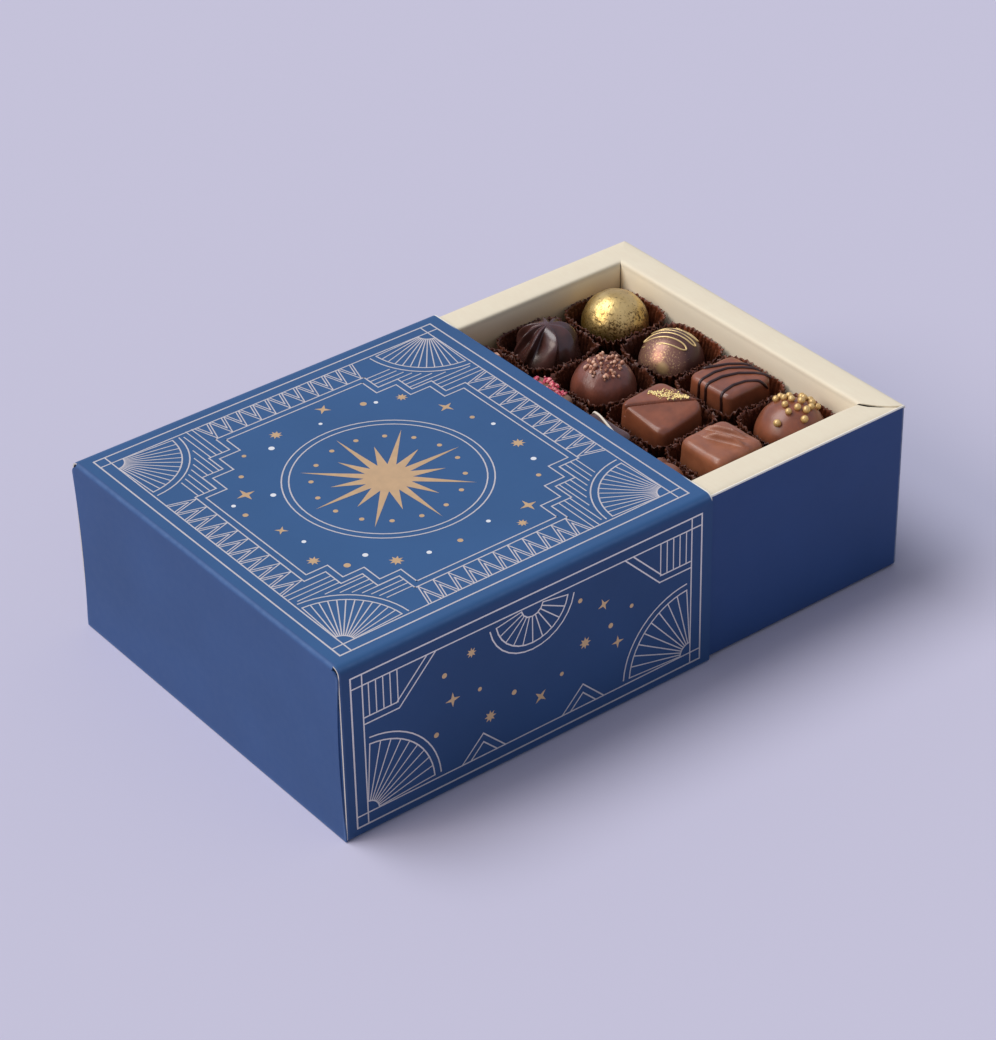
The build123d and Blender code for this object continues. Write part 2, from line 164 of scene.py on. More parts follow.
# Sleeve
# The outer box is one sheet of folding boxboard, printed dark blue and laminated matt, folded round
# and glued along a lap. Its closed end is a printed flap over a plain tuck and two dust flaps.
def laminated_board(name, inks_with_painted_shade, middle, half, cuts, fold_wear_and_highlight_colour="6686B7", strength=0.8, upright=False):
    """Printed board: ink on the outside, paler by the folds, partly from wear and partly a painted highlight for the
    light on the rounded fold, bare board inside and where cut.

    The two colours are the level panels' ink and the standing ones', which where darker is painted shade. Upright keeps
    the paler wear and painted highlight to the standing folds."""
    made = new_material(name)
    points = add_node(made, "TexCoord", {})
    place, normal = points.outputs["Object"], points.outputs["Normal"]
    offset = add_node(made, "VectorMath", {0: place, 1: middle}, operation="SUBTRACT")
    outward = add_node(made, "VectorMath", {0: offset, 1: normal}, operation="DOT_PRODUCT")
    printed = add_node(made, "Math", {0: outward, 1: 0.0}, operation="GREATER_THAN")
    for way in cuts:
        facing = add_node(made, "VectorMath", {0: normal, 1: way}, operation="DOT_PRODUCT")
        whole = add_node(made, "Math", {0: facing, 1: 0.9}, operation="LESS_THAN")
        printed = add_node(made, "Math", {0: printed, 1: whole}, operation="MULTIPLY")
    reach = add_node(made, "VectorMath", {0: offset}, operation="ABSOLUTE")
    depth = add_node(made, "VectorMath", {0: half, 1: reach}, operation="SUBTRACT")
    x, y, z = add_node(made, "SeparateXYZ", {0: depth}).outputs
    fold = add_node(made, "Math", {0: x, 1: y}, operation="MAXIMUM")
    if not upright:
        lesser = add_node(made, "Math", {0: x, 1: y}, operation="MINIMUM")
        second = add_node(made, "Math", {0: fold, 1: z}, operation="MINIMUM")
        fold = add_node(made, "Math", {0: lesser, 1: second}, operation="MAXIMUM")
    # Paler near a fold: partly wear, partly painted highlight standing for the light on the rounded fold.
    near_fold = add_node(made, "MapRange", {"Value": fold, 1: 0.0, 2: 1.6 * mm, 3: strength, 4: 0.0})
    patches = add_node(made, "TexNoise", {"Vector": place, "Scale": 1 / (3 * mm), "Detail": 3.0})
    fold_wear_and_highlight = add_node(made, "Math", {0: near_fold, 1: patches}, operation="MULTIPLY")
    clouds = add_node(made, "TexNoise", {"Vector": place, "Scale": 1 / (40 * mm), "Detail": 2.0})
    tone = add_node(made, "MapRange", {"Value": clouds, 1: 0.3, 2: 0.7, 3: 0.94, 4: 1.06})
    tilt = add_node(made, "SeparateXYZ", {0: normal})
    level = add_node(made, "Math", {0: tilt.outputs[2]}, operation="ABSOLUTE")
    # Painted shade: standing faces take the second, darker colour where it differs.
    panel = add_node(made, "Mix", {0: level, 6: linear(inks_with_painted_shade[1]), 7: linear(inks_with_painted_shade[0])}, data_type="RGBA")
    toned = add_node(made, "VectorMath", {0: panel, "Scale": tone}, operation="SCALE")
    inked = add_node(made, "Mix", {0: fold_wear_and_highlight, 6: toned, 7: linear(fold_wear_and_highlight_colour)}, data_type="RGBA")
    colour = add_node(made, "Mix", {0: printed, 6: linear("CFCBC6"), 7: inked}, data_type="RGBA")
    gloss = add_node(made, "MapRange", {"Value": patches, 3: 0.4, 4: 0.54})
    grain = add_node(made, "TexNoise", {"Vector": place, "Scale": 1 / (0.8 * mm), "Detail": 2.0})
    relief = add_node(made, "Bump", {"Strength": 0.12, "Distance": 0.05 * mm, "Height": grain})
    return surface(made, {"IOR": 1.5, "Specular IOR Level": 0.2, "Base Color": colour, "Roughness": gloss,
                          "Normal": relief})


def bare_board(name, code, deep, scale):
    """Uncoated board: matt, with faint fibres and clouds in its colour."""
    made = new_material(name)
    place = add_node(made, "TexCoord", {}).outputs["Object"]
    clouds = add_node(made, "TexNoise", {"Vector": place, "Scale": 1 / (14 * mm), "Detail": 4.0})
    stretched = add_node(made, "Mapping", {"Vector": place, "Scale": (1, 0.25, 1)})
    fibres = add_node(made, "TexNoise", {"Vector": stretched, "Scale": 1 / (scale * mm), "Detail": 3.0})
    blend = add_node(made, "Math", {0: clouds, 1: fibres}, operation="MULTIPLY")
    share = add_node(made, "MapRange", {"Value": blend, 1: 0.12, 2: 0.45})
    colour = add_node(made, "Mix", {0: share, 6: linear(deep), 7: linear(code)}, data_type="RGBA")
    relief = add_node(made, "Bump", {"Strength": 0.15, "Distance": 0.05 * mm, "Height": fibres})
    return surface(made, {"IOR": 1.5, "Roughness": 0.78, "Specular IOR Level": 0.25, "Base Color": colour,
                          "Normal": relief})


def colour_so_far(made):
    """What feeds a material's base colour."""
    return made.node_tree.nodes["Principled BSDF"].inputs["Base Color"].links[0].from_socket


def finish_node(name, material):
    """Gives a CAD node its material."""
    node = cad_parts[name]
    node.data.materials.clear()
    node.data.materials.append(material)


sleeve_low, sleeve_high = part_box("sleeve_wrap")
sleeve_low.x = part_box("sleeve_end_flap")[0].x
sleeve_middle = (sleeve_low + sleeve_high) / 2
sleeve_half = (sleeve_high - sleeve_low) / 2
# The box that finds the paler folds, with their wear and painted highlight, reaches on past the open end, which is cut
# and not folded.
past_end = Vector((5 * mm, 0, 0))
# The sides' darker blue is painted shade over the same print as the top.
made = laminated_board("matt_blue_sleeve_board", ("345B8B", "2C4D7B"), sleeve_middle + past_end,
                       sleeve_half + past_end, [(1, 0, 0), (-1, 0, 0)])
# Along the cut, the print has chipped back to white board where the top turns down.
x, y, z = add_node(made, "SeparateXYZ", {0: add_node(made, "TexCoord", {}).outputs["Object"]}).outputs
open_edge = add_node(made, "MapRange", {"Value": x, 1: sleeve_high.x - 0.55 * mm, 2: sleeve_high.x - 0.3 * mm})
from_middle = add_node(made, "Math", {0: y}, operation="ABSOLUTE")
corner = add_node(made, "MapRange", {"Value": from_middle, 1: 62 * mm, 2: 68 * mm})
high_up = add_node(made, "MapRange", {"Value": z, 1: 66.6 * mm, 2: 67.8 * mm})
chipped = add_node(made, "Math", {0: open_edge, 1: corner}, operation="MULTIPLY")
chipped = add_node(made, "Math", {0: chipped, 1: high_up}, operation="MULTIPLY")
colour = add_node(made, "Mix", {0: chipped, 6: colour_so_far(made), 7: linear("F2F0EA")}, data_type="RGBA")
finish_node("sleeve_wrap", surface(made, {"Base Color": colour}))
# The end board's darker blue is painted shade over the same print as the top.
flap_board = laminated_board("matt_blue_end_board", ("345384", "345384"), sleeve_middle, sleeve_half, [])
for name in ("sleeve_end_flap", "sleeve_end_tuck", "sleeve_dust_flap_near", "sleeve_dust_flap_far"):
    finish_node(name, flap_board)
plain_board = bare_board("plain_boxboard", "D2CEC8", "BFBAB2", 0.9)
finish_node("sleeve_glue_lap", plain_board)


# Foil lines on the sleeve
# The top and the two long sides carry a hot-stamped line drawing: a double rule with crossed corners,
# fans of rays, hatching and scattered stars. The foil is a film pressed on, a few hundredths thick.
foil_thickness = 0.03
level_step = 0.003
rule_width, line_width, fine_width = 0.6, 0.5, 0.42
fan_hub, arc_gap = 4.5, 2.6


def start_piece(name, primitive, **settings):
    """Adds a primitive under a name, alone selected, and opens it in edit mode."""
    bpy.ops.object.select_all(action="DESELECT")
    getattr(bpy.ops.mesh, f"primitive_{primitive}_add")(**settings)
    made = bpy.context.object
    made.name = made.data.name = name
    bpy.ops.object.mode_set(mode="EDIT")
    return made


def end_piece(made, material):
    """Closes edit mode, puts the place into the mesh and gives the piece its material."""
    bpy.ops.object.mode_set(mode="OBJECT")
    bpy.ops.object.transform_apply(location=True, rotation=True, scale=True)
    made.data.materials.clear()
    made.data.materials.append(material)


def modify(made, kind, **settings):
    """Adds a modifier and applies it."""
    modifier = made.modifiers.new(kind.lower(), kind)
    for setting, value in settings.items():
        setattr(modifier, setting, value)
    bpy.context.view_layer.objects.active = made
    bpy.ops.object.modifier_apply(modifier=modifier.name)


def empty_piece(name):
    """Starts a piece with nothing in it."""
    made = start_piece(name, "plane", size=mm)
    bpy.ops.mesh.delete(type="VERT")
    return made


def line(start, end, level, width=line_width):
    """One straight line of the open sheet, in millimetres; its level keeps it off the lines it crosses."""
    run = Vector(end) - Vector(start)
    middle = (Vector(start) + Vector(end)) / 2
    bpy.ops.mesh.primitive_plane_add(size=mm)
    bpy.ops.transform.resize(value=(run.length + width, width, 1), center_override=(0, 0, 0))
    bpy.ops.transform.rotate(value=-math.atan2(run.y, run.x), orient_axis="Z", center_override=(0, 0, 0))
    bpy.ops.transform.translate(value=Vector((middle.x, middle.y, level * level_step)) * mm)


def lines(points, level, width=line_width):
    """Straight lines from point to point, each a hair off its neighbours' level."""
    for k, (start, end) in enumerate(zip(points, points[1:])):
        line(start, end, level + k % 2 / 2, width)


def star(place, points, outer, inner, turn=0, level=0):
    """A filled star of the open sheet with a number of points."""
    middle = Vector((place[0], place[1], level * level_step)) * mm
    bpy.ops.mesh.primitive_circle_add(vertices=2 * points, radius=outer * mm, fill_type="NGON", location=middle,
                                      rotation=(0, 0, math.radians(turn)))
    shape = bmesh.from_edit_mesh(bpy.context.object.data)
    for k, v in enumerate([v for v in shape.verts if v.select]):
        if k % 2:
            v.co = middle + (v.co - middle) * inner / outer
    bmesh.update_edit_mesh(bpy.context.object.data)


def dot(place, radius):
    """A filled dot of the open sheet."""
    bpy.ops.mesh.primitive_circle_add(vertices=20, radius=radius * mm, fill_type="NGON",
                                      location=(place[0] * mm, place[1] * mm, 0))


def motifs(stars, dots):
    """Stars, each a place, number of points, size and turn, and dots, each a place and radius."""
    for x, y, points, size, turn in stars:
        star((x, y), points, size, size * (0.3 if points == 4 else 0.5), turn)
    for x, y, radius in dots:
        dot((x, y), radius)


def fan(corner, toward, radius, first, last, rays, level):
    """Rays from a corner, between two angles in degrees from the way it faces, under two arcs."""
    def at(reach, share):
        angle = math.radians(first + (last - first) * share)
        return (corner[0] + toward[0] * reach * math.cos(angle), corner[1] + toward[1] * reach * math.sin(angle))
    for k in range(rays):
        line(at(fan_hub, k / (rays - 1)), at(radius, k / (rays - 1)), level, fine_width)
    for reach, steps in ((radius, 14), (radius + arc_gap, 14), (fan_hub, 6)):
        lines([at(reach, k / steps) for k in range(steps + 1)], level + 1 + (reach > radius))


def double_rule(half_x, half_y, gap):
    """Two rules one inside the other, whose inner lines run on to cross at the corners."""
    for side in (-1, 1):
        line((-half_x, side * half_y), (half_x, side * half_y), 0, rule_width)
        line((side * half_x, -half_y), (side * half_x, half_y), 1, rule_width)
        line((-half_x, side * (half_y - gap)), (half_x, side * (half_y - gap)), 0)
        line((side * (half_x - gap), -half_y), (side * (half_x - gap), half_y), 1)


def chevrons(first, last, base, height, spacing, level, along_x):
    """A band of nested chevrons between two places, on a base line."""
    count = round((last - first) / spacing)
    for k in range(count):
        low = first + (last - first) * k / count
        high = low + (last - first) / count
        for share in (0, 0.34):
            inset = (high - low) * share / 2
            corners = [(low + inset, base), ((low + high) / 2, base + height * (1 - share)), (high - inset, base)]
            lines(corners if along_x else [(b, a) for a, b in corners], level, fine_width)


def press_on(made, material, turn, place):
    """Gives the open sheet its foil thickness and lays it on a panel."""
    end_piece(made, material)
    modify(made, "SOLIDIFY", thickness=foil_thickness * mm, offset=1)
    made.data.transform(Matrix.Translation(Vector(place)) @ turn)
    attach(made, "sleeve")


def foil(name, code, roughness, metallic):
    """Foil or ink: its colour with the faint unevenness of stamping on board."""
    made = new_material(name)
    place = add_node(made, "TexCoord", {}).outputs["Object"]
    spots = add_node(made, "TexNoise", {"Vector": place, "Scale": 1 / (2.5 * mm), "Detail": 2.0})
    tone = add_node(made, "MapRange", {"Value": spots, 3: 0.9, 4: 1.06})
    toned = add_node(made, "VectorMath", {0: linear(code)[:3], "Scale": tone}, operation="SCALE")
    gloss = add_node(made, "MapRange", {"Value": spots, 3: roughness - 0.06, 4: roughness + 0.08})
    return surface(made, {"Metallic": metallic, "Base Color": toned, "Roughness": gloss})


champagne_foil = foil("champagne_stamping_foil", "E6E1D9", 0.34, 0.85)
gold_foil = foil("gold_stamping_foil", "DDBB8C", 0.4, 0.7)
white_ink = foil("white_screen_ink", "E4E8F0", 0.5, 0.0)
flat_on = Matrix.Identity(4)
top_place = (0, 0, sleeve_high.z)

frame_x, frame_y, frame_gap = 71.7, 71.5, 4.4
band_x, band_y = frame_x - frame_gap, frame_y - frame_gap
inner_half = 57.0
step = 8.5
far_step = inner_half - 3 * step
line_gap = 2.6
fan_reach = 24
hatch_start, hatch_gap = 3.0, 2.35
chevron_run, chevron_gap = far_step + 2, 6.2


def stairs(inset):
    """The stepped corner of the inner frame, from one side round to the next."""
    a, b, c, d = (far_step + k * step - inset for k in range(4))
    return [(a, d), (a, c), (b, c), (b, b), (c, b), (c, a), (d, a)]


def hatch_end(across):
    """How far a hatch line runs out from the stairs before the frame or the fan's outer arc stops it."""
    beside, edge = band_x - across, fan_reach + 4.2
    return band_x - (math.sqrt(edge ** 2 - beside ** 2) if beside < edge else 0)


top_lines = empty_piece("foil_top_lines")
double_rule(frame_x, frame_y, frame_gap)
for sx in (-1, 1):
    for sy in (-1, 1):
        for inset in (0, line_gap):
            lines([(sx * x, sy * y) for x, y in stairs(inset)], 2)
        fan((sx * band_x, sy * band_y), (-sx, -sy), fan_reach, 3, 87, 13, 3)
        for k in range(10):
            across = far_step + hatch_start + hatch_gap * k
            stairs_past = 1 + (across > far_step + step) + (across > far_step + 2 * step)
            ends = [(across, inner_half - step * stairs_past), (across, hatch_end(across))]
            if sx == sy:
                ends = [(y, x) for x, y in ends]
            line(*[(sx * x, sy * y) for x, y in ends], 4, fine_width)
for side in (-1, 1):
    for inset in (0, line_gap):
        reach, run = inner_half - inset, far_step - inset
        line((-run, side * reach), (run, side * reach), 2)
        line((side * reach, -run), (side * reach, run), 2)
    for base, along_x in ((band_y, True), (band_x, False)):
        chevrons(-chevron_run, chevron_run, side * base, side * (inner_half - base), chevron_gap, 3, along_x)
circle_steps = 72
for radius in (33.5, 36.0):
    lines([(radius * math.cos(k * math.tau / circle_steps), radius * math.sin(k * math.tau / circle_steps))
           for k in range(circle_steps + 1)], 5)
press_on(top_lines, champagne_foil, flat_on, top_place)

top_motifs = empty_piece("foil_top_motifs")
star((0, 0), 8, 30, 4.6, 0)
star((0, 0), 8, 20, 5.6, 22.5, 1)
for k in range(16):
    angle = (k + 0.5) * math.tau / 16
    dot((26 * math.cos(angle), 26 * math.sin(angle)), 0.9)
motifs([(-43, 22, 4, 3.6, 0), (-27, -41, 8, 2.6, 0), (8, 49, 4, 3.0, 45), (26, -43, 4, 3.4, 0),
        (47, -11, 8, 2.6, 10), (42, 23, 4, 3.2, 20), (-48, -24, 8, 2.4, 0), (-14, 46, 8, 2.4, 0),
        (-46, -3, 4, 2.4, 45), (18, -50, 8, 2.0, 0), (34, 38, 8, 2.2, 0)],
       [(-38, 32, 0.9), (-41, -33, 1.2), (-4, -45, 1.0), (40, -31, 0.9), (21, 43, 1.2), (-30, 42, 0.8),
        (45, 12, 0.9), (-50, 12, 1.0)])
press_on(top_motifs, gold_foil, flat_on, top_place)

top_dots = empty_piece("foil_top_dots")
motifs([], [(-36, 16, 1.0), (-44, -13, 0.8), (-20, 40, 1.1), (25, 41, 0.8), (45, -22, 1.0), (-16, -44, 0.9),
            (10, -42, 0.8), (-33, -32, 1.0), (48, 4, 0.8), (2, 42, 0.7), (-50, 19, 0.8)])
press_on(top_dots, white_ink, flat_on, top_place)

side_half_x, side_half_z, side_z = 72.5, 29.9, 33.7
inner_x, inner_z = side_half_x - frame_gap, side_half_z - frame_gap
shelf, shelf_gap = 10, 2.6
upright = Matrix.Rotation(math.radians(90), 4, "X")
for side, y, turn in (("near", sleeve_low.y, upright),
                      ("far", sleeve_high.y, Matrix.Rotation(math.pi, 4, "Z") @ upright)):
    place = (0, y, side_z * mm)
    side_lines = empty_piece(f"foil_{side}_lines")
    double_rule(side_half_x, side_half_z, frame_gap)
    for sx in (-1, 1):
        fan((sx * inner_x, -inner_z), (-sx, 1), 27, 4, 86, 10, 3)
        for height, flat, slant, level in ((shelf, 14, 29, 2), (shelf + shelf_gap, 13, 25.5, 3)):
            lines([(sx * inner_x, height), (sx * (inner_x - flat), height), (sx * (inner_x - slant), inner_z)], level)
        for k in range(5):
            x = sx * (inner_x - 2.4 - 2.8 * k)
            line((x, shelf + shelf_gap), (x, inner_z), 4, fine_width)
        for half, height, level in ((9, 9, 2), (5.5, 5.5, 3)):
            lines([(sx * (21 + half), -inner_z), (sx * 21, -inner_z + height), (sx * (21 - half), -inner_z)], level)
    fan((0, inner_z), (1, -1), 15, 10, 170, 11, 5)
    press_on(side_lines, champagne_foil, turn, place)
    side_motifs = empty_piece(f"foil_{side}_motifs")
    motifs([(-33, 3, 4, 3.0, 0), (-18, -11, 8, 2.4, 0), (30, 12, 4, 2.6, 20), (3, -13, 4, 3.0, 45),
            (22, 0, 8, 2.4, 0), (36, -6, 4, 2.6, 0), (-25, 18, 8, 2.0, 0)],
           [(-40, -8, 1.0), (-22, 2, 0.8), (-8, -6, 1.0), (12, -8, 0.8), (33, 2, 1.0), (-36, 14, 1.0),
            (42, 6, 0.8), (20, 18, 0.9)])
    press_on(side_motifs, gold_foil, turn, place)


# Tray
# The tray is a second sheet of the same board, printed blue outside. Its hollow walls are folded over
# at the top into a broad cream rim and a cream inner wall, mitred at the corners.
tray_low, tray_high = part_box("tray_shell")
tray_middle = (tray_low + tray_high) / 2
tray_half = (tray_high - tray_low) / 2
wall_reach = 64.0
# The tray's standing corners get a pale line: partly bare board at the fold, partly painted highlight.
finish_node("tray_shell", laminated_board("matt_blue_tray_board", ("2C4A7E", "2C4A7E"), tray_middle, tray_half,
                                          [(0, 0, 1)], "C2C6CC", 1.6, True))
finish_node("tray_corner_tabs", plain_board)
cream_board = bare_board("cream_boxboard", "EAE2CD", "E7DDC8", 1.2)
# The cut edge along the near side is bleached board. Below the rim the walls are painted paler, as painted light, and
# low down, most of all on the far wall, a warmer and darker colour stands for painted bounce light and shade.
place = add_node(cream_board, "TexCoord", {}).outputs["Object"]
offset = add_node(cream_board, "VectorMath", {0: place, 1: tray_middle}, operation="SUBTRACT")
reach = add_node(cream_board, "VectorMath", {0: offset}, operation="ABSOLUTE")
depth = add_node(cream_board, "VectorMath", {0: tray_half, 1: reach}, operation="SUBTRACT")
below_rim = add_node(cream_board, "SeparateXYZ", {0: depth}).outputs[2]
along = add_node(cream_board, "SeparateXYZ", {0: place}).outputs[1]
edge = add_node(cream_board, "MapRange", {"Value": along, 1: tray_low.y + 0.7 * mm, 2: tray_low.y + 0.85 * mm,
                                          3: 1.0, 4: 0.0})
low_down = add_node(cream_board, "MapRange", {"Value": below_rim, 1: 0.5 * mm, 2: 18 * mm})
far_wall = add_node(cream_board, "MapRange", {"Value": along, 1: 62 * mm, 2: 64 * mm, 3: 0.1, 4: 1.0})
painted_wall_light = add_node(cream_board, "MapRange", {"Value": below_rim, 1: 0.3 * mm, 2: 2 * mm})
painted_warm_bounce_shade = add_node(cream_board, "Math", {0: low_down, 1: far_wall}, operation="MULTIPLY")
colour = colour_so_far(cream_board)
for share, code in ((painted_wall_light, "FBF2DC"), (painted_warm_bounce_shade, "DDAE6C"), (edge, "FBF8F0")):
    colour = add_node(cream_board, "Mix", {0: share, 6: colour, 7: linear(code)}, data_type="RGBA")
surface(cream_board, {"Base Color": colour})


def pick(made, kind, test):
    """Selects the edges, faces or vertices that pass a test on their middle, in millimetres, and on themselves."""
    bpy.ops.mesh.select_all(action="DESELECT")
    bpy.ops.mesh.select_mode(type={"verts": "VERT", "edges": "EDGE", "faces": "FACE"}[kind])
    shape = bmesh.from_edit_mesh(made.data)
    for part in getattr(shape, kind):
        if kind == "verts":
            middle = part.co / mm
        else:
            middle = sum((v.co for v in part.verts), Vector()) / len(part.verts) / mm
        part.select_set(bool(test(middle, part)))
    shape.select_flush_mode()
    bmesh.update_edit_mesh(made.data)


rim_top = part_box("tray_flap_front")[1].z / mm
wall_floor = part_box("tray_flap_front")[0].z / mm
rim_profile = [(0.0, wall_floor), (0.0, 45.0), (0.0, rim_top - 6), (0.0, rim_top - 1.4), (0.12, rim_top - 0.75),
               (0.45, rim_top - 0.28), (0.95, rim_top - 0.06), (1.8, rim_top), (4.0, rim_top), (7.0, rim_top),
               (9.2, rim_top - 0.03), (10.3, rim_top - 0.16), (10.9, rim_top - 0.4), (11.2, rim_top - 0.62),
               (11.28, rim_top - 0.3), (11.4, rim_top - 0.1), (11.7, rim_top - 0.02), (11.93, rim_top - 0.2),
               (12.0, rim_top - 0.6)]
plain_edge = [(10.9, rim_top - 0.2), (11.2, rim_top - 0.27), (11.28, rim_top - 0.3), (11.4, rim_top - 0.34),
              (11.7, rim_top - 0.5), (11.93, rim_top - 0.8), (12.0, rim_top - 1.1)]
along_count = 48
# Turn of each wall, then how far its rim bows over each mitre, and the gap it leaves there.
rims = {"front": (0, 2.2, 0.0, 0.0, 0.0), "rear": (180, 0.0, 0.16, 0.0, 0.16),
        "near": (-90, 0.1, 0.16, -2.5, 0.25), "far": (90, 0.0, 0.0, 0.0, 0.16)}
for name, (turn, low_bow, low_gap, high_bow, high_gap) in rims.items():
    profile = rim_profile if name == "near" else rim_profile[:-len(plain_edge)] + plain_edge
    flap = start_piece(f"tray_rim_{name}", "grid", x_subdivisions=len(rim_profile) - 1,
                       y_subdivisions=along_count, size=2)
    shape = bmesh.from_edit_mesh(flap.data)
    for v in shape.verts:
        out, z = profile[round((v.co.x + 1) / 2 * (len(profile) - 1))]
        share = (v.co.y + 1) / 2
        slit = 0.16 if out == 0 else 0
        bulge = math.sin(math.pi * min(1, out / 11)) ** 0.8 if out < 11 else 0
        low = -(wall_reach + out - max(slit, low_gap) + low_bow * bulge)
        high = wall_reach + out - max(slit, high_gap) + high_bow * bulge
        y = low + (high - low) * share
        waviness = noise.noise((share * 5, turn, 0)) * 0.14 * math.sin(math.pi * share) if 1 < out < 11 else 0
        tucked = 0.5 * max(0, 1 - (high - y) / 6) if high_bow < 0 and 0 < out < 11.2 else 0
        v.co = Vector((wall_reach + out, y, z + waviness - tucked)) * mm
    bmesh.update_edit_mesh(flap.data)
    end_piece(flap, cream_board)
    modify(flap, "SOLIDIFY", thickness=0.45 * mm, offset=-1)
    flap.data.transform(Matrix.Translation((tray_middle.x, 0, 0)) @ Matrix.Rotation(math.radians(turn), 4, "Z"))
    bpy.ops.object.shade_smooth_by_angle(angle=math.radians(50))
    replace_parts(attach(flap, "tray"), f"tray_flap_{name}")


# Platform
# A brown card folded down on four sides carries the cups in the deep tray.
finish_node("cup_platform", bare_board("brown_platform_card", "4A3026", "3A241C", 1.0))


# Paper cups
# Each chocolate sits in a fluted cup pressed from thin brown greaseproof paper. The flutes open out
# towards a ragged rim, and neighbouring cups push each other square.
cup_height, cup_sheet = 15.5, 0.25
cup_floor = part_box("paper_cup_1_1")[0].z
flute_count, flute_steps = 52, 4
cup_levels = [0, 0.06, 0.2, 0.34, 0.48, 0.6, 0.7, 0.79, 0.87, 0.94, 1]
grid_middle_x = tray_middle.x / mm

cup_paper = new_material("brown_greaseproof_paper")
place = add_node(cup_paper, "TexCoord", {}).outputs["Object"]
height = add_node(cup_paper, "MapRange", {"Value": add_node(cup_paper, "SeparateXYZ", {0: place}).outputs[2],
                                          1: cup_floor, 2: cup_floor + cup_height * mm})
offset = add_node(cup_paper, "VectorMath", {0: place, 1: (grid_middle_x * mm, 0, 0)}, operation="SUBTRACT")
reach = add_node(cup_paper, "VectorMath", {0: offset}, operation="ABSOLUTE")
painted_wall_glow = add_node(cup_paper, "MapRange", {"Value": add_node(cup_paper, "SeparateXYZ", {0: reach}).outputs[0],
                                           1: (wall_reach - 9) * mm, 2: wall_reach * mm, 3: 0.45, 4: 1.0})
# Painted shade darkens the flutes' feet, and a painted glow makes the paper redder by the end walls, standing for light
# through the rim.
spots = add_node(cup_paper, "TexNoise", {"Vector": place, "Scale": 1 / (1.6 * mm), "Detail": 3.0})
share = add_node(cup_paper, "Math", {0: height, 1: spots}, operation="MULTIPLY")
share = add_node(cup_paper, "Math", {0: share, 1: painted_wall_glow}, operation="MULTIPLY")
brown = add_node(cup_paper, "Mix", {0: share, 6: linear("1A0D0A"), 7: linear("9A4F2E")}, data_type="RGBA")
# Painted highlights: light specks high on the crinkled paper stand for glints.
fine = add_node(cup_paper, "TexNoise", {"Vector": place, "Scale": 1 / (0.8 * mm), "Detail": 2.0})
painted_glints = add_node(cup_paper, "MapRange", {"Value": fine, 1: 0.58, 2: 0.66, 4: 0.5})
cut = add_node(cup_paper, "MapRange", {"Value": height, 1: 0.6, 2: 0.85})
painted_glint_mask = add_node(cup_paper, "Math", {0: painted_glints, 1: cut}, operation="MULTIPLY")
surface(cup_paper, {
    "IOR": 1.5, "Specular IOR Level": 0.38,
    "Base Color": add_node(cup_paper, "Mix", {0: painted_glint_mask, 6: brown, 7: linear("8E604E")}, data_type="RGBA"),
    "Roughness": add_node(cup_paper, "MapRange", {"Value": spots, 3: 0.28, 4: 0.55}),
    "Normal": add_node(cup_paper, "Bump", {"Strength": 0.3, "Distance": 0.1 * mm, "Height": spots})})


def fluted_cup(name, base_half, base_power, rim_half, rim_power):
    """A fluted cup standing on z = 0, whose outline is a circle at power 2 and squarer above it."""
    made = start_piece(name, "circle", vertices=flute_count * flute_steps, radius=base_half * mm,
                       fill_type="NOTHING")
    for low, high in zip(cup_levels, cup_levels[1:]):
        bpy.ops.mesh.extrude_region_move(TRANSFORM_OT_translate={"value": (0, 0, (high - low) * cup_height * mm)})
    pick(made, "verts", lambda middle, v: middle.z < 0.01)
    bpy.ops.mesh.edge_face_add()
    shape = bmesh.from_edit_mesh(made.data)
    for v in shape.verts:
        angle = math.atan2(v.co.y, v.co.x)
        share = v.co.z / mm / cup_height
        power = base_power + (rim_power - base_power) * share
        outline = (abs(math.cos(angle)) ** power + abs(math.sin(angle)) ** power) ** (-1 / power)
        fluting = 0.25 + 1.0 * share
        wave = 0.5 - 0.5 * math.cos(flute_count * angle)
        reach = (base_half + (rim_half - base_half) * share ** 0.9) * outline - fluting * wave
        v.co = Vector((math.cos(angle) * reach * mm, math.sin(angle) * reach * mm, v.co.z))
    bmesh.update_edit_mesh(made.data)
    end_piece(made, cup_paper)
    return made


def copy_piece(original, name, matrix):
    """A copy with its own mesh, placed by a matrix."""
    made = original.copy()
    made.data = original.data.copy()
    made.name = made.data.name = name
    bpy.context.scene.collection.objects.link(made)
    made.data.transform(matrix)
    return made


def smooth(made):
    """Shades a piece smooth."""
    bpy.ops.object.select_all(action="DESELECT")
    made.select_set(True)
    bpy.ops.object.shade_smooth()


round_cup = fluted_cup("round_cup", 12.5, 2.0, 15.8, 4.0)
square_cup = fluted_cup("square_cup", 12.9, 3.2, 15.8, 5.5)
square_cups = ((1, 3), (2, 3), (2, 4), (3, 2), (3, 3), (4, 1))


def cup_middle(column, row):
    """The middle of a cup's underside."""
    low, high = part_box(f"paper_cup_{column}_{row}")
    return Vector(((low.x + high.x) / 2, (low.y + high.y) / 2, low.z))


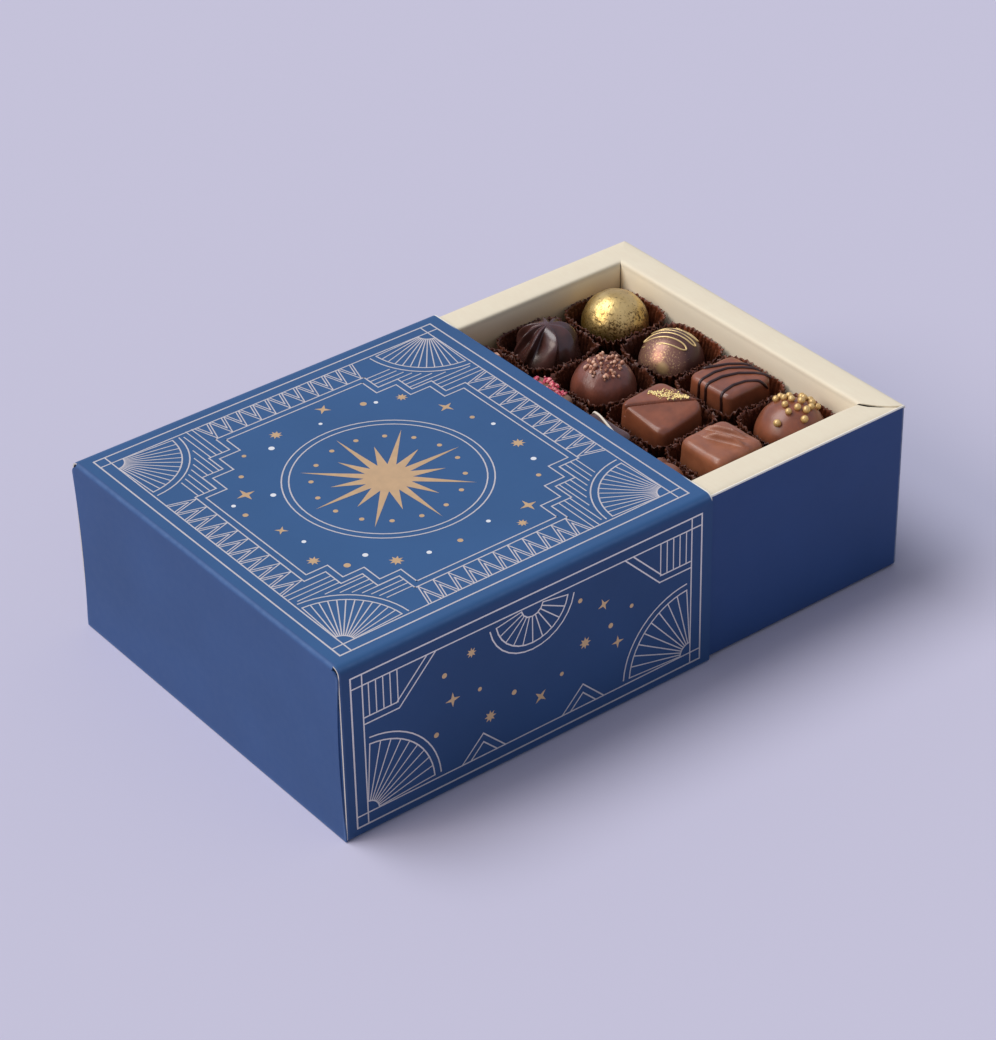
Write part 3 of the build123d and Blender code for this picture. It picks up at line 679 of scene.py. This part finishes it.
# The vector noise here and further down starts from the clock unless it is seeded.
noise.seed_set(3)
for column in range(1, 5):
    for row in range(1, 5):
        master = square_cup if (column, row) in square_cups else round_cup
        spin = Matrix.Rotation((column * 7 + row * 3) % 4 * math.pi / 2, 4, "Z")
        cup = copy_piece(master, f"cup_{column}_{row}", Matrix.Translation(cup_middle(column, row)) @ spin)
        for v in cup.data.vertices:
            share = (v.co.z - cup_floor) / mm / cup_height
            shift = noise.noise_vector(v.co / (1.3 * mm))
            broad = noise.noise_vector(v.co / (6 * mm))
            inner = wall_reach - max(abs(v.co.x / mm - grid_middle_x), abs(v.co.y / mm))
            pressed = min(1, max(0, (inner - 3) / 5))
            crumple = (0.45 + 0.45 * pressed) * share ** 2
            sag = pressed * share ** 3 * (0.2 + 1.4 * broad.z)
            v.co += Vector((shift.x * crumple, shift.y * crumple, shift.z * 1.5 * crumple - sag)) * mm
        modify(cup, "SOLIDIFY", thickness=0.14 * mm, offset=-1)
        smooth(cup)
        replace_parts(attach(cup, "tray"), f"paper_cup_{column}_{row}")
for master in (round_cup, square_cup):
    bpy.data.objects.remove(master)


# Gold-leaf ball
# A dark ball rolled in edible gold leaf, which is crinkled and broken so that dark flecks show, most of
# all low on its sides.
swell_noise = bpy.data.textures.new("dipping_swell", "CLOUDS")
swell_noise.noise_scale = 9 * mm
swell_noise.noise_depth = 1


def swell(made, depth):
    """Gives a piece a faint uneven swell and shades it smooth."""
    modify(made, "DISPLACE", texture=swell_noise, texture_coords="LOCAL", strength=depth * mm, mid_level=0.5)
    smooth(made)


def ball(name, radius, foot, material):
    """A dipped ball that stands on a flat foot at z = 0."""
    made = start_piece(name, "ico_sphere", subdivisions=6, radius=radius * mm, location=(0, 0, (radius - foot) * mm))
    end_piece(made, material)
    bpy.ops.object.mode_set(mode="EDIT")
    pick(made, "verts", lambda middle, v: middle.z < 0)
    bpy.ops.transform.resize(value=(1, 1, 0), center_override=(0, 0, 0))
    bpy.ops.object.mode_set(mode="OBJECT")
    swell(made, 0.5)
    return made


def set_down(original, slot, *copies):
    """Stands copies of a master piece in their cups and removes it.

    Each copy is its name, column, row, turn in degrees, body and the CAD nodes that it stands for."""
    for name, column, row, turn, body, *nodes in copies:
        foot = cup_middle(column, row) + Vector((0, 0, cup_sheet * mm))
        made = copy_piece(original, name, Matrix.Translation(foot) @ Matrix.Rotation(math.radians(turn), 4, "Z"))
        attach(made, body)
        if nodes:
            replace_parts(made, *nodes)
    bpy.data.objects.remove(original)


gold_leaf = new_material("edible_gold_leaf")
place = add_node(gold_leaf, "TexCoord", {}).outputs["Object"]
fine = add_node(gold_leaf, "TexNoise", {"Vector": place, "Scale": 1 / (1.0 * mm), "Detail": 6.0, "Roughness": 0.65,
                                        "Distortion": 0.6})
broad = add_node(gold_leaf, "TexNoise", {"Vector": place, "Scale": 1 / (7 * mm), "Detail": 2.0})
# More dark flecks, and so a darker ball, towards the bottom.
low = add_node(gold_leaf, "MapRange", {"Value": add_node(gold_leaf, "SeparateXYZ", {0: place}).outputs[2],
                                       1: cup_floor + 9 * mm, 2: cup_floor + 24 * mm, 3: 0.15, 4: -0.05})
both = add_node(gold_leaf, "Math", {0: broad, 1: 0.34, 2: low}, operation="MULTIPLY_ADD")
limit = add_node(gold_leaf, "Math", {0: both, 1: 0.24}, operation="ADD")
leaf = add_node(gold_leaf, "Math", {0: fine, 1: limit}, operation="SUBTRACT")
share = add_node(gold_leaf, "MapRange", {"Value": leaf, 1: -0.05, 2: 0.05})
tint = add_node(gold_leaf, "Mix", {0: broad, 6: linear("F6DF9A"), 7: linear("9E7628")}, data_type="RGBA")
creases = add_node(gold_leaf, "TexNoise", {"Vector": place, "Scale": 1 / (2.4 * mm), "Detail": 5.0,
                                           "Distortion": 0.8})
surface(gold_leaf, {
    "IOR": 1.5, "Base Color": add_node(gold_leaf, "Mix", {0: share, 6: linear("5A4216"), 7: tint}, data_type="RGBA"),
    "Metallic": add_node(gold_leaf, "MapRange", {"Value": share, 3: 0.45, 4: 1.0}),
    "Roughness": add_node(gold_leaf, "MapRange", {"Value": fine, 3: 0.3, 4: 0.42}),
    "Normal": add_node(gold_leaf, "Bump", {"Strength": 0.55, "Distance": 0.4 * mm, "Height": creases})})
set_down(ball("gold_ball", 12.6, 0.9, gold_leaf), "gold_leaf",
         ("gold_leaf_ball_front", 1, 1, 0, "gold_leaf_chocolate", "gold_leaf_ball"),
         ("gold_leaf_ball_back", 4, 2, 130, "tray", "gold_leaf_ball_rear"))


# Squiggle dome
# A dark dome with bronze lustre powder blown on from the near left, thick there and speckled beyond, and a fine gold
# line piped to and fro over its top. On the near left a smooth pink gradient is partly powder and partly painted sheen,
# and a bright spot there is thick powder that also stands for a painted highlight.
def trail(name, points, radius, material):
    """A thin piped line through points in millimetres, with round ends."""
    bpy.ops.object.select_all(action="DESELECT")
    bpy.ops.curve.primitive_nurbs_path_add()
    made = bpy.context.object
    made.name = name
    spline = made.data.splines[0]
    spline.points.add(len(points) - len(spline.points))
    for k, point in enumerate(points):
        spline.points[k].co = (*(c * mm for c in point), 1)
        spline.points[k].radius = 0.55 if k in (0, len(points) - 1) else 1
    spline.order_u = 3
    spline.use_endpoint_u = True
    made.data.resolution_u = 6
    made.data.bevel_depth = radius * mm
    made.data.bevel_resolution = 3
    made.data.use_fill_caps = True
    made.data.materials.append(material)
    bpy.ops.object.convert(target="MESH")
    made = bpy.context.object
    made.data.name = name
    bpy.ops.object.shade_smooth()
    return made


dome_radius, dome_foot = 12.1, 2.4
dome_centre = cup_middle(1, 2) + Vector((0, 0, cup_sheet + dome_radius - dome_foot)) * mm
dusted = new_material("dusted_dark_couverture")
place = add_node(dusted, "TexCoord", {}).outputs["Object"]
offset = add_node(dusted, "VectorMath", {0: place, 1: dome_centre}, operation="SUBTRACT")
outward = add_node(dusted, "VectorMath", {0: offset}, operation="NORMALIZE")
facing = add_node(dusted, "VectorMath", {0: outward, 1: (-0.87, -0.26, 0.42)}, operation="DOT_PRODUCT")
# Partly lustre powder, partly painted sheen: a smooth pink gradient facing the near left.
painted_sheen = add_node(dusted, "MapRange", {"Value": facing, 1: 0.5, 2: 1.0, 4: 0.62})
thick = add_node(dusted, "MapRange", {"Value": facing, 1: 0.2, 2: 0.95, 3: -0.2, 4: 0.03})
grains = add_node(dusted, "TexNoise", {"Vector": place, "Scale": 1 / (0.6 * mm), "Detail": 3.0})
level = add_node(dusted, "Math", {0: grains, 1: thick}, operation="ADD")
powder = add_node(dusted, "MapRange", {"Value": level, 1: 0.54, 2: 0.68, 4: 0.8})
base = add_node(dusted, "Mix", {0: painted_sheen, 6: linear("4F302B"), 7: linear("BE8E7B")}, data_type="RGBA")
# A bright spot of thick powder that also stands for a painted highlight.
spot = add_node(dusted, "VectorMath", {0: outward, 1: (-0.80, -0.51, 0.32)}, operation="DOT_PRODUCT")
painted_spot = add_node(dusted, "MapRange", {"Value": spot, 1: 0.975, 2: 0.996, 4: 0.85})
gold = add_node(dusted, "Math", {0: painted_spot, 1: powder}, operation="MAXIMUM")
surface(dusted, {
    "IOR": 1.46, "Specular IOR Level": 0.45,
    "Base Color": add_node(dusted, "Mix", {0: gold, 6: base, 7: linear("D9B984")}, data_type="RGBA"),
    "Metallic": add_node(dusted, "Math", {0: painted_sheen, 1: powder}, operation="MAXIMUM"),
    "Roughness": add_node(dusted, "MapRange", {"Value": grains, 3: 0.28, 4: 0.46}),
    "Normal": add_node(dusted, "Bump", {"Strength": 0.3, "Distance": 0.1 * mm, "Height": grains})})
set_down(ball("dome", dome_radius, dome_foot, dusted), "dark_chocolate",
         ("dark_dome", 1, 2, 0, "squiggle_chocolate", "squiggle_dome"))

gold_icing = surface(new_material("gold_lustre_icing"), {
    "Base Color": linear("DEC48A"), "Metallic": 0.5, "Roughness": 0.4})
squiggle_path = [
    (-9.5, -4.6), (-4, -5.4), (2, -5.6), (6.4, -5.2), (7.6, -3.8), (5.4, -2.6), (0, -2.5), (-5, -2.9), (-9.6, -2.6),
    (-10.2, -1.2), (-7, -0.2), (-1, 0.2), (5, 0), (8.6, -0.4), (9.3, 1.0), (6.5, 1.9), (0, 2.3), (-6, 2.3), (-9, 2.8),
    (-8.8, 4.2), (-5, 4.6), (1, 4.7), (6, 4.2), (8.4, 4.4), (8, 5.8), (4, 6.5), (-1, 6.9)]
squiggle_turn = Matrix.Rotation(math.radians(-62), 2)
piped = []
for point in squiggle_path:
    x, y = squiggle_turn @ Vector(point)
    lift = math.sqrt((dome_radius + 0.2) ** 2 - x * x - y * y)
    piped.append((x, y, dome_radius - dome_foot + lift))
set_down(trail("squiggle", piped, 0.34, gold_icing), "gold_line",
         ("gold_squiggle", 1, 2, 0, "squiggle_chocolate", "dome_squiggle"))


# Striped squares
# Moulded squares with leaning sides, coated with milk couverture. Thin dark lines are trailed over the top
# and down the sides while the coat sets.
def couverture(name, code, deep, roughness, upright=1.0):
    """Tempered chocolate, softly glossy, with faint clouds of cocoa butter and fine ripples from dipping.

    It is in two close colours, the deeper one in the clouds, and painted shade darkens it down in its cup."""
    made = new_material(name)
    place = add_node(made, "TexCoord", {}).outputs["Object"]
    clouds = add_node(made, "TexNoise", {"Vector": place, "Scale": 1 / (7 * mm), "Detail": 4.0, "Roughness": 0.6})
    share = add_node(made, "MapRange", {"Value": clouds, 1: 0.35, 2: 0.65})
    colour = add_node(made, "Mix", {0: share, 6: linear(deep), 7: linear(code)}, data_type="RGBA")
    # Painted shade: darker low down, where the cup and the neighbours shade the chocolate.
    foot = add_node(made, "MapRange", {"Value": add_node(made, "SeparateXYZ", {0: place}).outputs[2],
                                       1: cup_floor + 6 * mm, 2: cup_floor + 18 * mm, 3: 0.75})
    painted_shade_colour = add_node(made, "VectorMath", {0: colour, "Scale": foot}, operation="SCALE")
    gloss = add_node(made, "MapRange", {"Value": clouds, 3: roughness - 0.08, 4: roughness + 0.1})
    drawn = add_node(made, "VectorMath", {0: place, 1: (1, 1, upright)}, operation="MULTIPLY")
    ripple = add_node(made, "TexNoise", {"Vector": drawn, "Scale": 1 / (2.5 * mm), "Detail": 3.0})
    relief = add_node(made, "Bump", {"Strength": 0.25, "Distance": 0.12 / upright ** 2 * mm, "Height": ripple})
    return surface(made, {
        "IOR": 1.46, "Specular IOR Level": 0.64, "Subsurface Weight": 0.06, "Subsurface Radius": (1.0, 0.4, 0.2),
        "Subsurface Scale": 1.2 * mm, "Base Color": painted_shade_colour, "Roughness": gloss, "Normal": relief})


square_half, square_height, square_taper = 11.7, 21.0, 0.96
square_top = square_half - square_taper


def square(name):
    """The rough shape of a moulded square with leaning sides, still open in edit mode."""
    made = start_piece(name, "cube", size=mm)
    bpy.ops.transform.resize(value=(2 * square_half, 2 * square_half, square_height))
    bpy.ops.transform.translate(value=(0, 0, square_height / 2 * mm))
    pick(made, "faces", lambda middle, face: middle.z > square_height - 0.1)
    bpy.ops.transform.resize(value=(square_top / square_half, square_top / square_half, 1),
                             center_override=(0, 0, square_height * mm))
    pick(made, "edges", lambda middle, edge: 1 < middle.z < square_height - 1)
    bpy.ops.mesh.bevel(offset=3.6 * mm, segments=8, affect="EDGES")
    return made


def coat(made, material, grid, rounds, depth=0.35):
    """Ends a modelled square and softens it as poured chocolate is, into one even mesh with rounded edges."""
    end_piece(made, material)
    modify(made, "REMESH", mode="VOXEL", voxel_size=grid * mm)
    modify(made, "SMOOTH", factor=0.5, iterations=rounds)
    swell(made, depth)


def coated_square(name, material, edge=2.0, grid=0.5, rounds=4, depth=0.35):
    """A finished square with a rounded edge all round its top."""
    made = square(name)
    pick(made, "edges", lambda middle, side: min(v.co.z for v in side.verts) > (square_height - 0.1) * mm)
    bpy.ops.mesh.bevel(offset=edge * mm, segments=5, affect="EDGES")
    coat(made, material, grid, rounds, depth)
    return made


fold_radius, side_lean = 2, math.radians(86.5)


def fold_down(distance):
    """How far out and how high a path over the top is, once it has gone a distance from the middle."""
    flat = square_top - fold_radius
    if distance <= flat:
        return distance, square_height
    turned = min((distance - flat) / fold_radius, side_lean)
    fallen = max(0, distance - flat - fold_radius * side_lean)
    return (flat + fold_radius * math.sin(turned) + fallen * 0.06,
            square_height - fold_radius + fold_radius * math.cos(turned) - fallen)


def over_square(u, w, lift):
    """A point on the square's surface, from its place on the surface laid flat."""
    x, x_height = fold_down(abs(u))
    y, y_height = fold_down(abs(w))
    z = min(x_height, y_height)
    on_top = z > square_height - 0.6
    grow = 0 if on_top else lift
    return (math.copysign(x + (grow if abs(u) > abs(w) else 0), u),
            math.copysign(y + (grow if abs(w) >= abs(u) else 0), w), z + (lift if on_top else 0))


def spread(points, gap):
    """More points along the same runs, no further apart than a gap."""
    dense = [points[0]]
    for (u0, w0), (u1, w1) in zip(points, points[1:]):
        count = max(1, round(math.hypot(u1 - u0, w1 - w0) / gap))
        dense += [(u0 + (u1 - u0) * k / count, w0 + (w1 - w0) * k / count) for k in range(1, count + 1)]
    return dense


milk = couverture("milk_couverture", "8E5238", "754430", 0.33)
squash = Matrix.Diagonal((1, 1, 0.91, 1))
striped = coated_square("striped", milk)
dark_line = surface(new_material("dark_piping_couverture"), {
    "Base Color": linear("321B17"), "Roughness": 0.3, "IOR": 1.46})
stripe_paths = [[(-3, 13), (-3.6, 9.6), (0, 8), (4.5, 5.9), (8, 3), (12, -2)],
                [(-21, 4.6), (-14, 4.4), (-9, 4.6), (-3, 5.2), (2.5, 4), (7, 0.6), (12, -5)],
                [(-22, 1), (-14, 0.9), (-9, 1.2), (-3, 1.2), (3, -1), (7.5, -5), (11, -10)],
                [(-21, -7.4), (-14, -7.2), (-9, -6.4), (-4, -5.6), (1, -6.6), (5, -9.5), (8, -14)]]
stripes = [trail(f"stripe_{k}", [over_square(u, w, 0.12) for u, w in spread(path, 1.3)], 0.6, dark_line)
           for k, path in enumerate(stripe_paths)]
bpy.ops.object.select_all(action="DESELECT")
for stripe in stripes:
    stripe.select_set(True)
bpy.context.view_layer.objects.active = stripes[0]
bpy.ops.object.join()
for made in (striped, stripes[0]):
    made.data.transform(squash)
set_down(striped, "milk_chocolate",
         ("milk_square_front", 1, 3, 2, "striped_chocolate", "striped_square"),
         ("milk_square_back", 4, 1, -2, "tray", "striped_square_rear"))
set_down(stripes[0], "dark_chocolate",
         ("dark_stripes_front", 1, 3, 2, "striped_chocolate", "square_stripes"),
         ("dark_stripes_back", 4, 1, -2, "tray", "square_stripes_rear"))


# Beaded ball
# A ball dipped in milk couverture, with gold-lustre sugar beads stuck over its top and one low on its side
# before the coat sets.
def on_ball(radius, foot, lean, turn):
    """A point on a ball that stands on z = 0, from its lean off upright and its turn in degrees."""
    a, b = math.radians(lean), math.radians(turn)
    return Vector((radius * math.sin(a) * math.cos(b), radius * math.sin(a) * math.sin(b),
                   radius - foot + radius * math.cos(a)))


beaded_radius, beaded_foot = 12.8, 2.4
set_down(ball("beaded", beaded_radius, beaded_foot, milk), "milk_chocolate",
         ("milk_ball", 1, 4, 0, "beaded_chocolate", "beaded_ball"))
bead_sugar = new_material("gold_lustre_sugar")
place = add_node(bead_sugar, "TexCoord", {}).outputs["Object"]
spots = add_node(bead_sugar, "TexNoise", {"Vector": place, "Scale": 1 / (1.1 * mm), "Detail": 3.0})
colour = add_node(bead_sugar, "Mix", {0: spots, 6: linear("BC8F4C"), 7: linear("F0D494")}, data_type="RGBA")
surface(bead_sugar, {"Metallic": 0.3, "Roughness": 0.32, "IOR": 1.5, "Base Color": colour})
bead_places = [(29, 105), (17, 90), (20, 57), (13, 179), (24, -143), (17, -98), (16, -26), (28, -74), (40, -99),
               (32, 8), (38, -16), (48, -22), (32, -46), (31, 82), (6, 46), (47, -162), (40, 22), (44, 2)]
beads = empty_piece("beads")
random.seed(4)
for lean, turn in bead_places:
    radius = random.uniform(1.2, 1.42)
    bpy.ops.mesh.primitive_ico_sphere_add(
        subdivisions=3, radius=radius * mm,
        location=on_ball(beaded_radius + radius * 0.3, beaded_foot, lean, turn) * mm)
end_piece(beads, bead_sugar)
bpy.ops.object.shade_smooth()
set_down(beads, "gold_sugar", ("gold_sugar_beads", 1, 4, 0, "beaded_chocolate", "gold_beads"))


# Crumbed balls
# Balls dipped in streaked milk couverture, with a heap of roasted nut crumbs dropped on top, a little to
# one side.
def crumbs(name, places, low, high, material, seed):
    """Broken crumbs of mixed size at given places, each a lump with its own turn and stretch."""
    made = empty_piece(name)
    random.seed(seed)
    for place in places:
        bpy.ops.mesh.primitive_ico_sphere_add(
            subdivisions=2, radius=random.uniform(low, high) * mm, location=Vector(place) * mm,
            rotation=[random.uniform(0, math.tau) for _ in range(3)])
        bpy.ops.transform.resize(value=[random.uniform(0.6, 1.15) for _ in range(3)],
                                 center_override=Vector(place) * mm)
    end_piece(made, material)
    for v in made.data.vertices:
        v.co += noise.noise_vector(v.co / (0.9 * mm)) * low * 0.4 * mm
    bpy.ops.object.shade_smooth_by_angle(angle=math.radians(35))
    return made


def mottled(name, codes, scale, values):
    """A solid in three colours that change from crumb to crumb."""
    made = new_material(name)
    place = add_node(made, "TexCoord", {}).outputs["Object"]
    spots = add_node(made, "TexNoise", {"Vector": place, "Scale": 1 / (scale * mm), "Detail": 2.0})
    first = add_node(made, "MapRange", {"Value": spots, 1: 0.38, 2: 0.5})
    second = add_node(made, "MapRange", {"Value": spots, 1: 0.52, 2: 0.62})
    low = add_node(made, "Mix", {0: first, 6: linear(codes[0]), 7: linear(codes[1])}, data_type="RGBA")
    high = add_node(made, "Mix", {0: second, 6: low, 7: linear(codes[2])}, data_type="RGBA")
    return surface(made, {**values, "Base Color": high})


roasted_nut = mottled("roasted_hazelnut", ("94604A", "C9937A", "E8C0A8"), 1.2, {"Roughness": 0.5, "IOR": 1.47})
crumbed_radius, crumbed_foot = 12.0, 0.9
streaked = couverture("streaked_couverture", "804A3B", "65382C", 0.33, 0.3)
crumbed = ball("crumbed", crumbed_radius, crumbed_foot, streaked)
random.seed(5)
crumb_count, heap_spread, golden_turn = 46, 34, 137.5
lean_over = Matrix.Rotation(math.radians(13), 3, Vector((0.86, -0.52, 0)))
ball_middle = Vector((0, 0, crumbed_radius - crumbed_foot))
crumb_places = []
for k in range(crumb_count):
    place = on_ball(crumbed_radius + 0.15 + 0.4 * (k % 3 == 0), crumbed_foot,
                    heap_spread * math.sqrt((k + 0.5) / crumb_count), k * golden_turn + random.uniform(-14, 14))
    crumb_places.append(ball_middle + lean_over @ (place - ball_middle))
crumb_heap = crumbs("crumb_heap", crumb_places, 0.55, 1.05, roasted_nut, 7)
set_down(crumbed, "milk_chocolate",
         ("crumbed_ball_front", 2, 2, 0, "crumbed_chocolate", "crumbed_ball"),
         ("crumbed_ball_back", 4, 4, 90, "tray", "crumbed_ball_rear"))
set_down(crumb_heap, "roasted_nut",
         ("nut_crumbs_front", 2, 2, 0, "crumbed_chocolate", "nut_crumbs"),
         ("nut_crumbs_back", 4, 4, 90, "tray", "nut_crumbs_rear"))


# Pleated peaks
# Dark chocolates with wide smooth flutes between sharp ridges, which twist up to a low peak as the mould
# shapes them.
def pleated(name, radius, height, ridges, depth, twist, belly, material):
    """A fluted dome on z = 0, with a sharp ridge between each pair of smooth hollows."""
    steps, rings = ridges * 22, 48
    made = start_piece(name, "grid", x_subdivisions=steps, y_subdivisions=rings, size=2)
    shape = bmesh.from_edit_mesh(made.data)
    for v in shape.verts:
        around, share = (v.co.x + 1) / 2, math.sin((v.co.y + 1) / 2 * math.pi / 2)
        offset = (share - belly) / (1 - belly) if share > belly else (belly - share) / 0.75
        body = radius * math.sqrt(max(0, 1 - offset ** 2.3))
        wander = 0.2 * math.sin(math.tau * around * 2 + 1) + 0.12 * math.sin(math.tau * around * 3)
        fold = (around * ridges + wander) % 1
        hollow = math.sin(math.pi / 2 * fold / 0.2) if fold < 0.2 else math.cos(math.pi / 2 * (fold - 0.2) / 0.8) ** 1.3
        ease = min(1, max(0, (share - 0.42) / 0.34))
        deep = depth * (0.8 + 0.35 * math.sin(math.tau * around * 2 + 2.2))
        reach = body * (1 - deep * hollow * ease)
        angle = math.tau * around + math.radians(twist) * share ** 1.6
        rise = (1 - hollow) * 0.05 * ease * (1 - share ** 8)
        v.co = Vector((reach * math.cos(angle), reach * math.sin(angle), height * min(1, share + rise))) * mm
    bmesh.update_edit_mesh(made.data)
    bpy.ops.mesh.select_all(action="SELECT")
    bpy.ops.mesh.remove_doubles(threshold=0.002 * mm)
    bpy.ops.mesh.select_all(action="DESELECT")
    bpy.ops.mesh.select_non_manifold()
    bpy.ops.mesh.edge_face_add()
    bpy.ops.mesh.select_all(action="SELECT")
    bpy.ops.mesh.normals_make_consistent(inside=False)
    end_piece(made, material)
    for v in made.data.vertices:
        v.co += noise.noise_vector(v.co / (8 * mm)) * 0.6 * mm * min(1, v.co.z / (3 * mm))
    bpy.ops.object.shade_smooth()
    return made


dark = couverture("dark_couverture", "4E2F2B", "39241F", 0.23)
set_down(pleated("peak", 12.5, 23.4, 8, 0.36, 26, 0.46, dark), "dark_chocolate",
         ("pleated_peak_front", 2, 1, 10, "pleated_chocolate", "pleated_peak"),
         ("pleated_peak_back", 4, 3, 35, "tray", "pleated_peak_rear"))


# Flaked square
# A milk square whose near half slopes down from a crease across it, with a scatter of gold flakes on
# the flat half beyond.
crease_side = -Vector((math.cos(math.radians(55)), math.sin(math.radians(55)), 0))
crease_start = -0.5 * crease_side
crease_way = Vector((-crease_side.y, crease_side.x, 0))
crease_step, crease_slope, crease_width = 0.6, math.tan(math.radians(13)), 0.5
flaked = square("flaked")
for distance in (0, crease_width):
    bpy.ops.mesh.select_all(action="SELECT")
    bpy.ops.mesh.bisect(plane_co=(crease_start + crease_side * distance) * mm, plane_no=crease_side)
shape = bmesh.from_edit_mesh(flaked.data)
for v in shape.verts:
    beyond = (v.co / mm - crease_start).dot(crease_side) - crease_width
    if v.co.z > (square_height - 0.1) * mm and beyond > -0.01:
        v.co.z -= (crease_step + crease_slope * beyond) * mm
bmesh.update_edit_mesh(flaked.data)
pick(flaked, "edges", lambda middle, edge: middle.z > square_height - 5 and len(edge.link_faces) == 2
     and edge.calc_face_angle() > math.radians(55)
     and abs((middle - crease_start).dot(crease_side) - crease_width / 2) > 0.6)
bpy.ops.mesh.bevel(offset=2.3 * mm, segments=6, affect="EDGES")
coat(flaked, milk, 0.27, 60)
for v in flaked.data.vertices:
    here = v.co / mm - crease_start
    across = here.dot(crease_side) - 0.35 + 0.25 * math.cos(here.dot(crease_way) / 5)
    if abs(across) < 0.5 and v.co.z > (square_height - 4.5) * mm:
        v.co.z -= 1.7 * math.cos(math.pi * across) * mm
set_down(flaked, "milk_chocolate", ("flaked_milk_square", 2, 3, 6, "flaked_chocolate", "flaked_square"))
random.seed(12)
flake_height = square_height + 0.06
flake_places = []
for _ in range(420):
    share = random.random()
    aside = random.gauss(0, 0.4 + 1.2 * math.sin(math.pi * share) ** 2)
    flake_places.append((1.2 + 7.4 * share + aside * 0.9, 7.6 - 12.6 * share + aside * 0.45, flake_height))
gold_flake = surface(new_material("gold_leaf_flake"), {
    "Base Color": linear("EFD78F"), "Metallic": 0.8, "Roughness": 0.34})
flakes = crumbs("flakes", flake_places, 0.14, 0.42, gold_flake, 12)
for v in flakes.data.vertices:
    v.co.z = flake_height * mm + (v.co.z - square_height * mm) * 0.45
set_down(flakes, "gold_leaf", ("gold_leaf_flakes", 2, 3, 6, "flaked_chocolate"))


# Ridged square
# A caramel-coloured square with two crescent ridges pulled up across its top by a dipping fork.
def ridge(made, path, height, near, far):
    """Pulls up a ridge along a path of (x, y) over a melted block: steep on one side, long on the other."""
    runs = [(Vector(a), Vector(b)) for a, b in zip(path, path[1:])]
    total = sum((b - a).length for a, b in runs)
    for v in made.data.vertices:
        if v.co.z < (square_height - 4) * mm:
            continue
        here = Vector((v.co.x, v.co.y)) / mm
        best, gone = None, 0
        for a, b in runs:
            way = (b - a).normalized()
            along = min(max((here - a).dot(way), 0), (b - a).length)
            offset = here - (a + way * along)
            if best is None or offset.length < best[0]:
                best = (offset.length, offset.dot(Vector((-way.y, way.x))), (gone + along) / total)
            gone += (b - a).length
        distance, side, share = best
        reach = near if side > 0 else far
        if distance < reach:
            fade = 0.5 + 0.5 * math.cos(math.pi * distance / reach)
            taper = min(1, 4 * share * (1 - share) + 0.15)
            v.co.z += height * fade ** 1.2 * taper * mm


caramel = couverture("caramel_couverture", "9C6144", "865138", 0.34)
ridged = coated_square("ridged", caramel, 2.8, 0.33, 36, 0.4)
ridge(ridged, [(-3.4, 5.6), (-1.2, 1.2), (1.1, -4.0), (2.6, -8.4)], 2.7, 3.0, 1.0)
ridge(ridged, [(0.4, 9.6), (2.6, 5.4), (4.8, 0.4), (6.6, -4.8)], 2.2, 2.8, 1.0)
set_down(ridged, "milk_chocolate", ("ridged_caramel_square", 2, 4, 2, "ridged_chocolate", "ridged_square"))


# Nut ball
# A caramel-coloured ball with a few large pieces of roasted nut pressed into its top.
nut_radius, nut_foot = 12.0, 2.4
set_down(ball("nutty", nut_radius, nut_foot, caramel), "milk_chocolate",
         ("nut_caramel_ball", 3, 1, 0, "tray", "nut_ball"))
chunk_spots = [(32, 30), (26, -60), (20, 160), (12, 70), (38, -10), (36, 95)]
chunk_places = [on_ball(nut_radius + 0.1, nut_foot, lean, turn) for lean, turn in chunk_spots]
set_down(crumbs("chunks", chunk_places, 1.5, 2.2, roasted_nut, 3), "roasted_nut",
         ("nut_chunks", 3, 1, 0, "tray", "nut_pieces"))


# Berry square
# A pale milk square with freeze-dried raspberry crumbs along one side of its top.
blond = couverture("blond_couverture", "84624B", "765440", 0.45)
set_down(coated_square("berried", blond), "milk_chocolate",
         ("berry_milk_square", 3, 2, -2, "tray", "berry_square"))
dried_berry = mottled("freeze_dried_raspberry", ("B02848", "DD5A74", "F2A9A6"), 1.3, {"Roughness": 0.6, "IOR": 1.45})
random.seed(21)
berry_places = [(random.uniform(5.6, 10.0), random.uniform(-7, 8), square_height + random.uniform(-0.1, 0.7))
                for _ in range(42)]
set_down(crumbs("berry_bits", berry_places, 0.5, 1.1, dried_berry, 21), "dried_berry",
         ("raspberry_crumbs", 3, 2, -2, "tray", "berry_crumbs"))


# Lined square
# A dark square with one line of white couverture piped near an edge.
set_down(coated_square("lined", dark), "dark_chocolate", ("dark_lined_square", 3, 3, 2, "tray", "lined_square"))
white_couverture = surface(new_material("white_couverture"), {
    "Base Color": linear("EFE6D8"), "Roughness": 0.45, "IOR": 1.46})
line_path = spread([(10.6, 11.5), (9.9, 7.4), (8, 1.6), (6.1, -4.3), (4.6, -12)], 1.3)
set_down(trail("piped_line", [over_square(u, w, 0.15) for u, w in line_path], 0.45, white_couverture),
         "white_chocolate", ("white_piped_line", 3, 3, 2, "tray", "white_line"))


# Rosette
# A piped caramel-coloured rosette of folded ridges, with half a nut on top.
set_down(pleated("rose", 12.3, 23.6, 7, 0.24, 40, 0.55, caramel), "milk_chocolate",
         ("caramel_rosette", 3, 4, 0, "tray", "rosette"))
set_down(crumbs("half_nut", [(0, 0, 22.7)], 1.9, 2.0, roasted_nut, 2), "roasted_nut",
         ("rosette_half_nut", 3, 4, 0, "tray", "rosette_nut"))


# Bounds
# The lowest and highest corners of everything shown, the floor aside.
low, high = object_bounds()
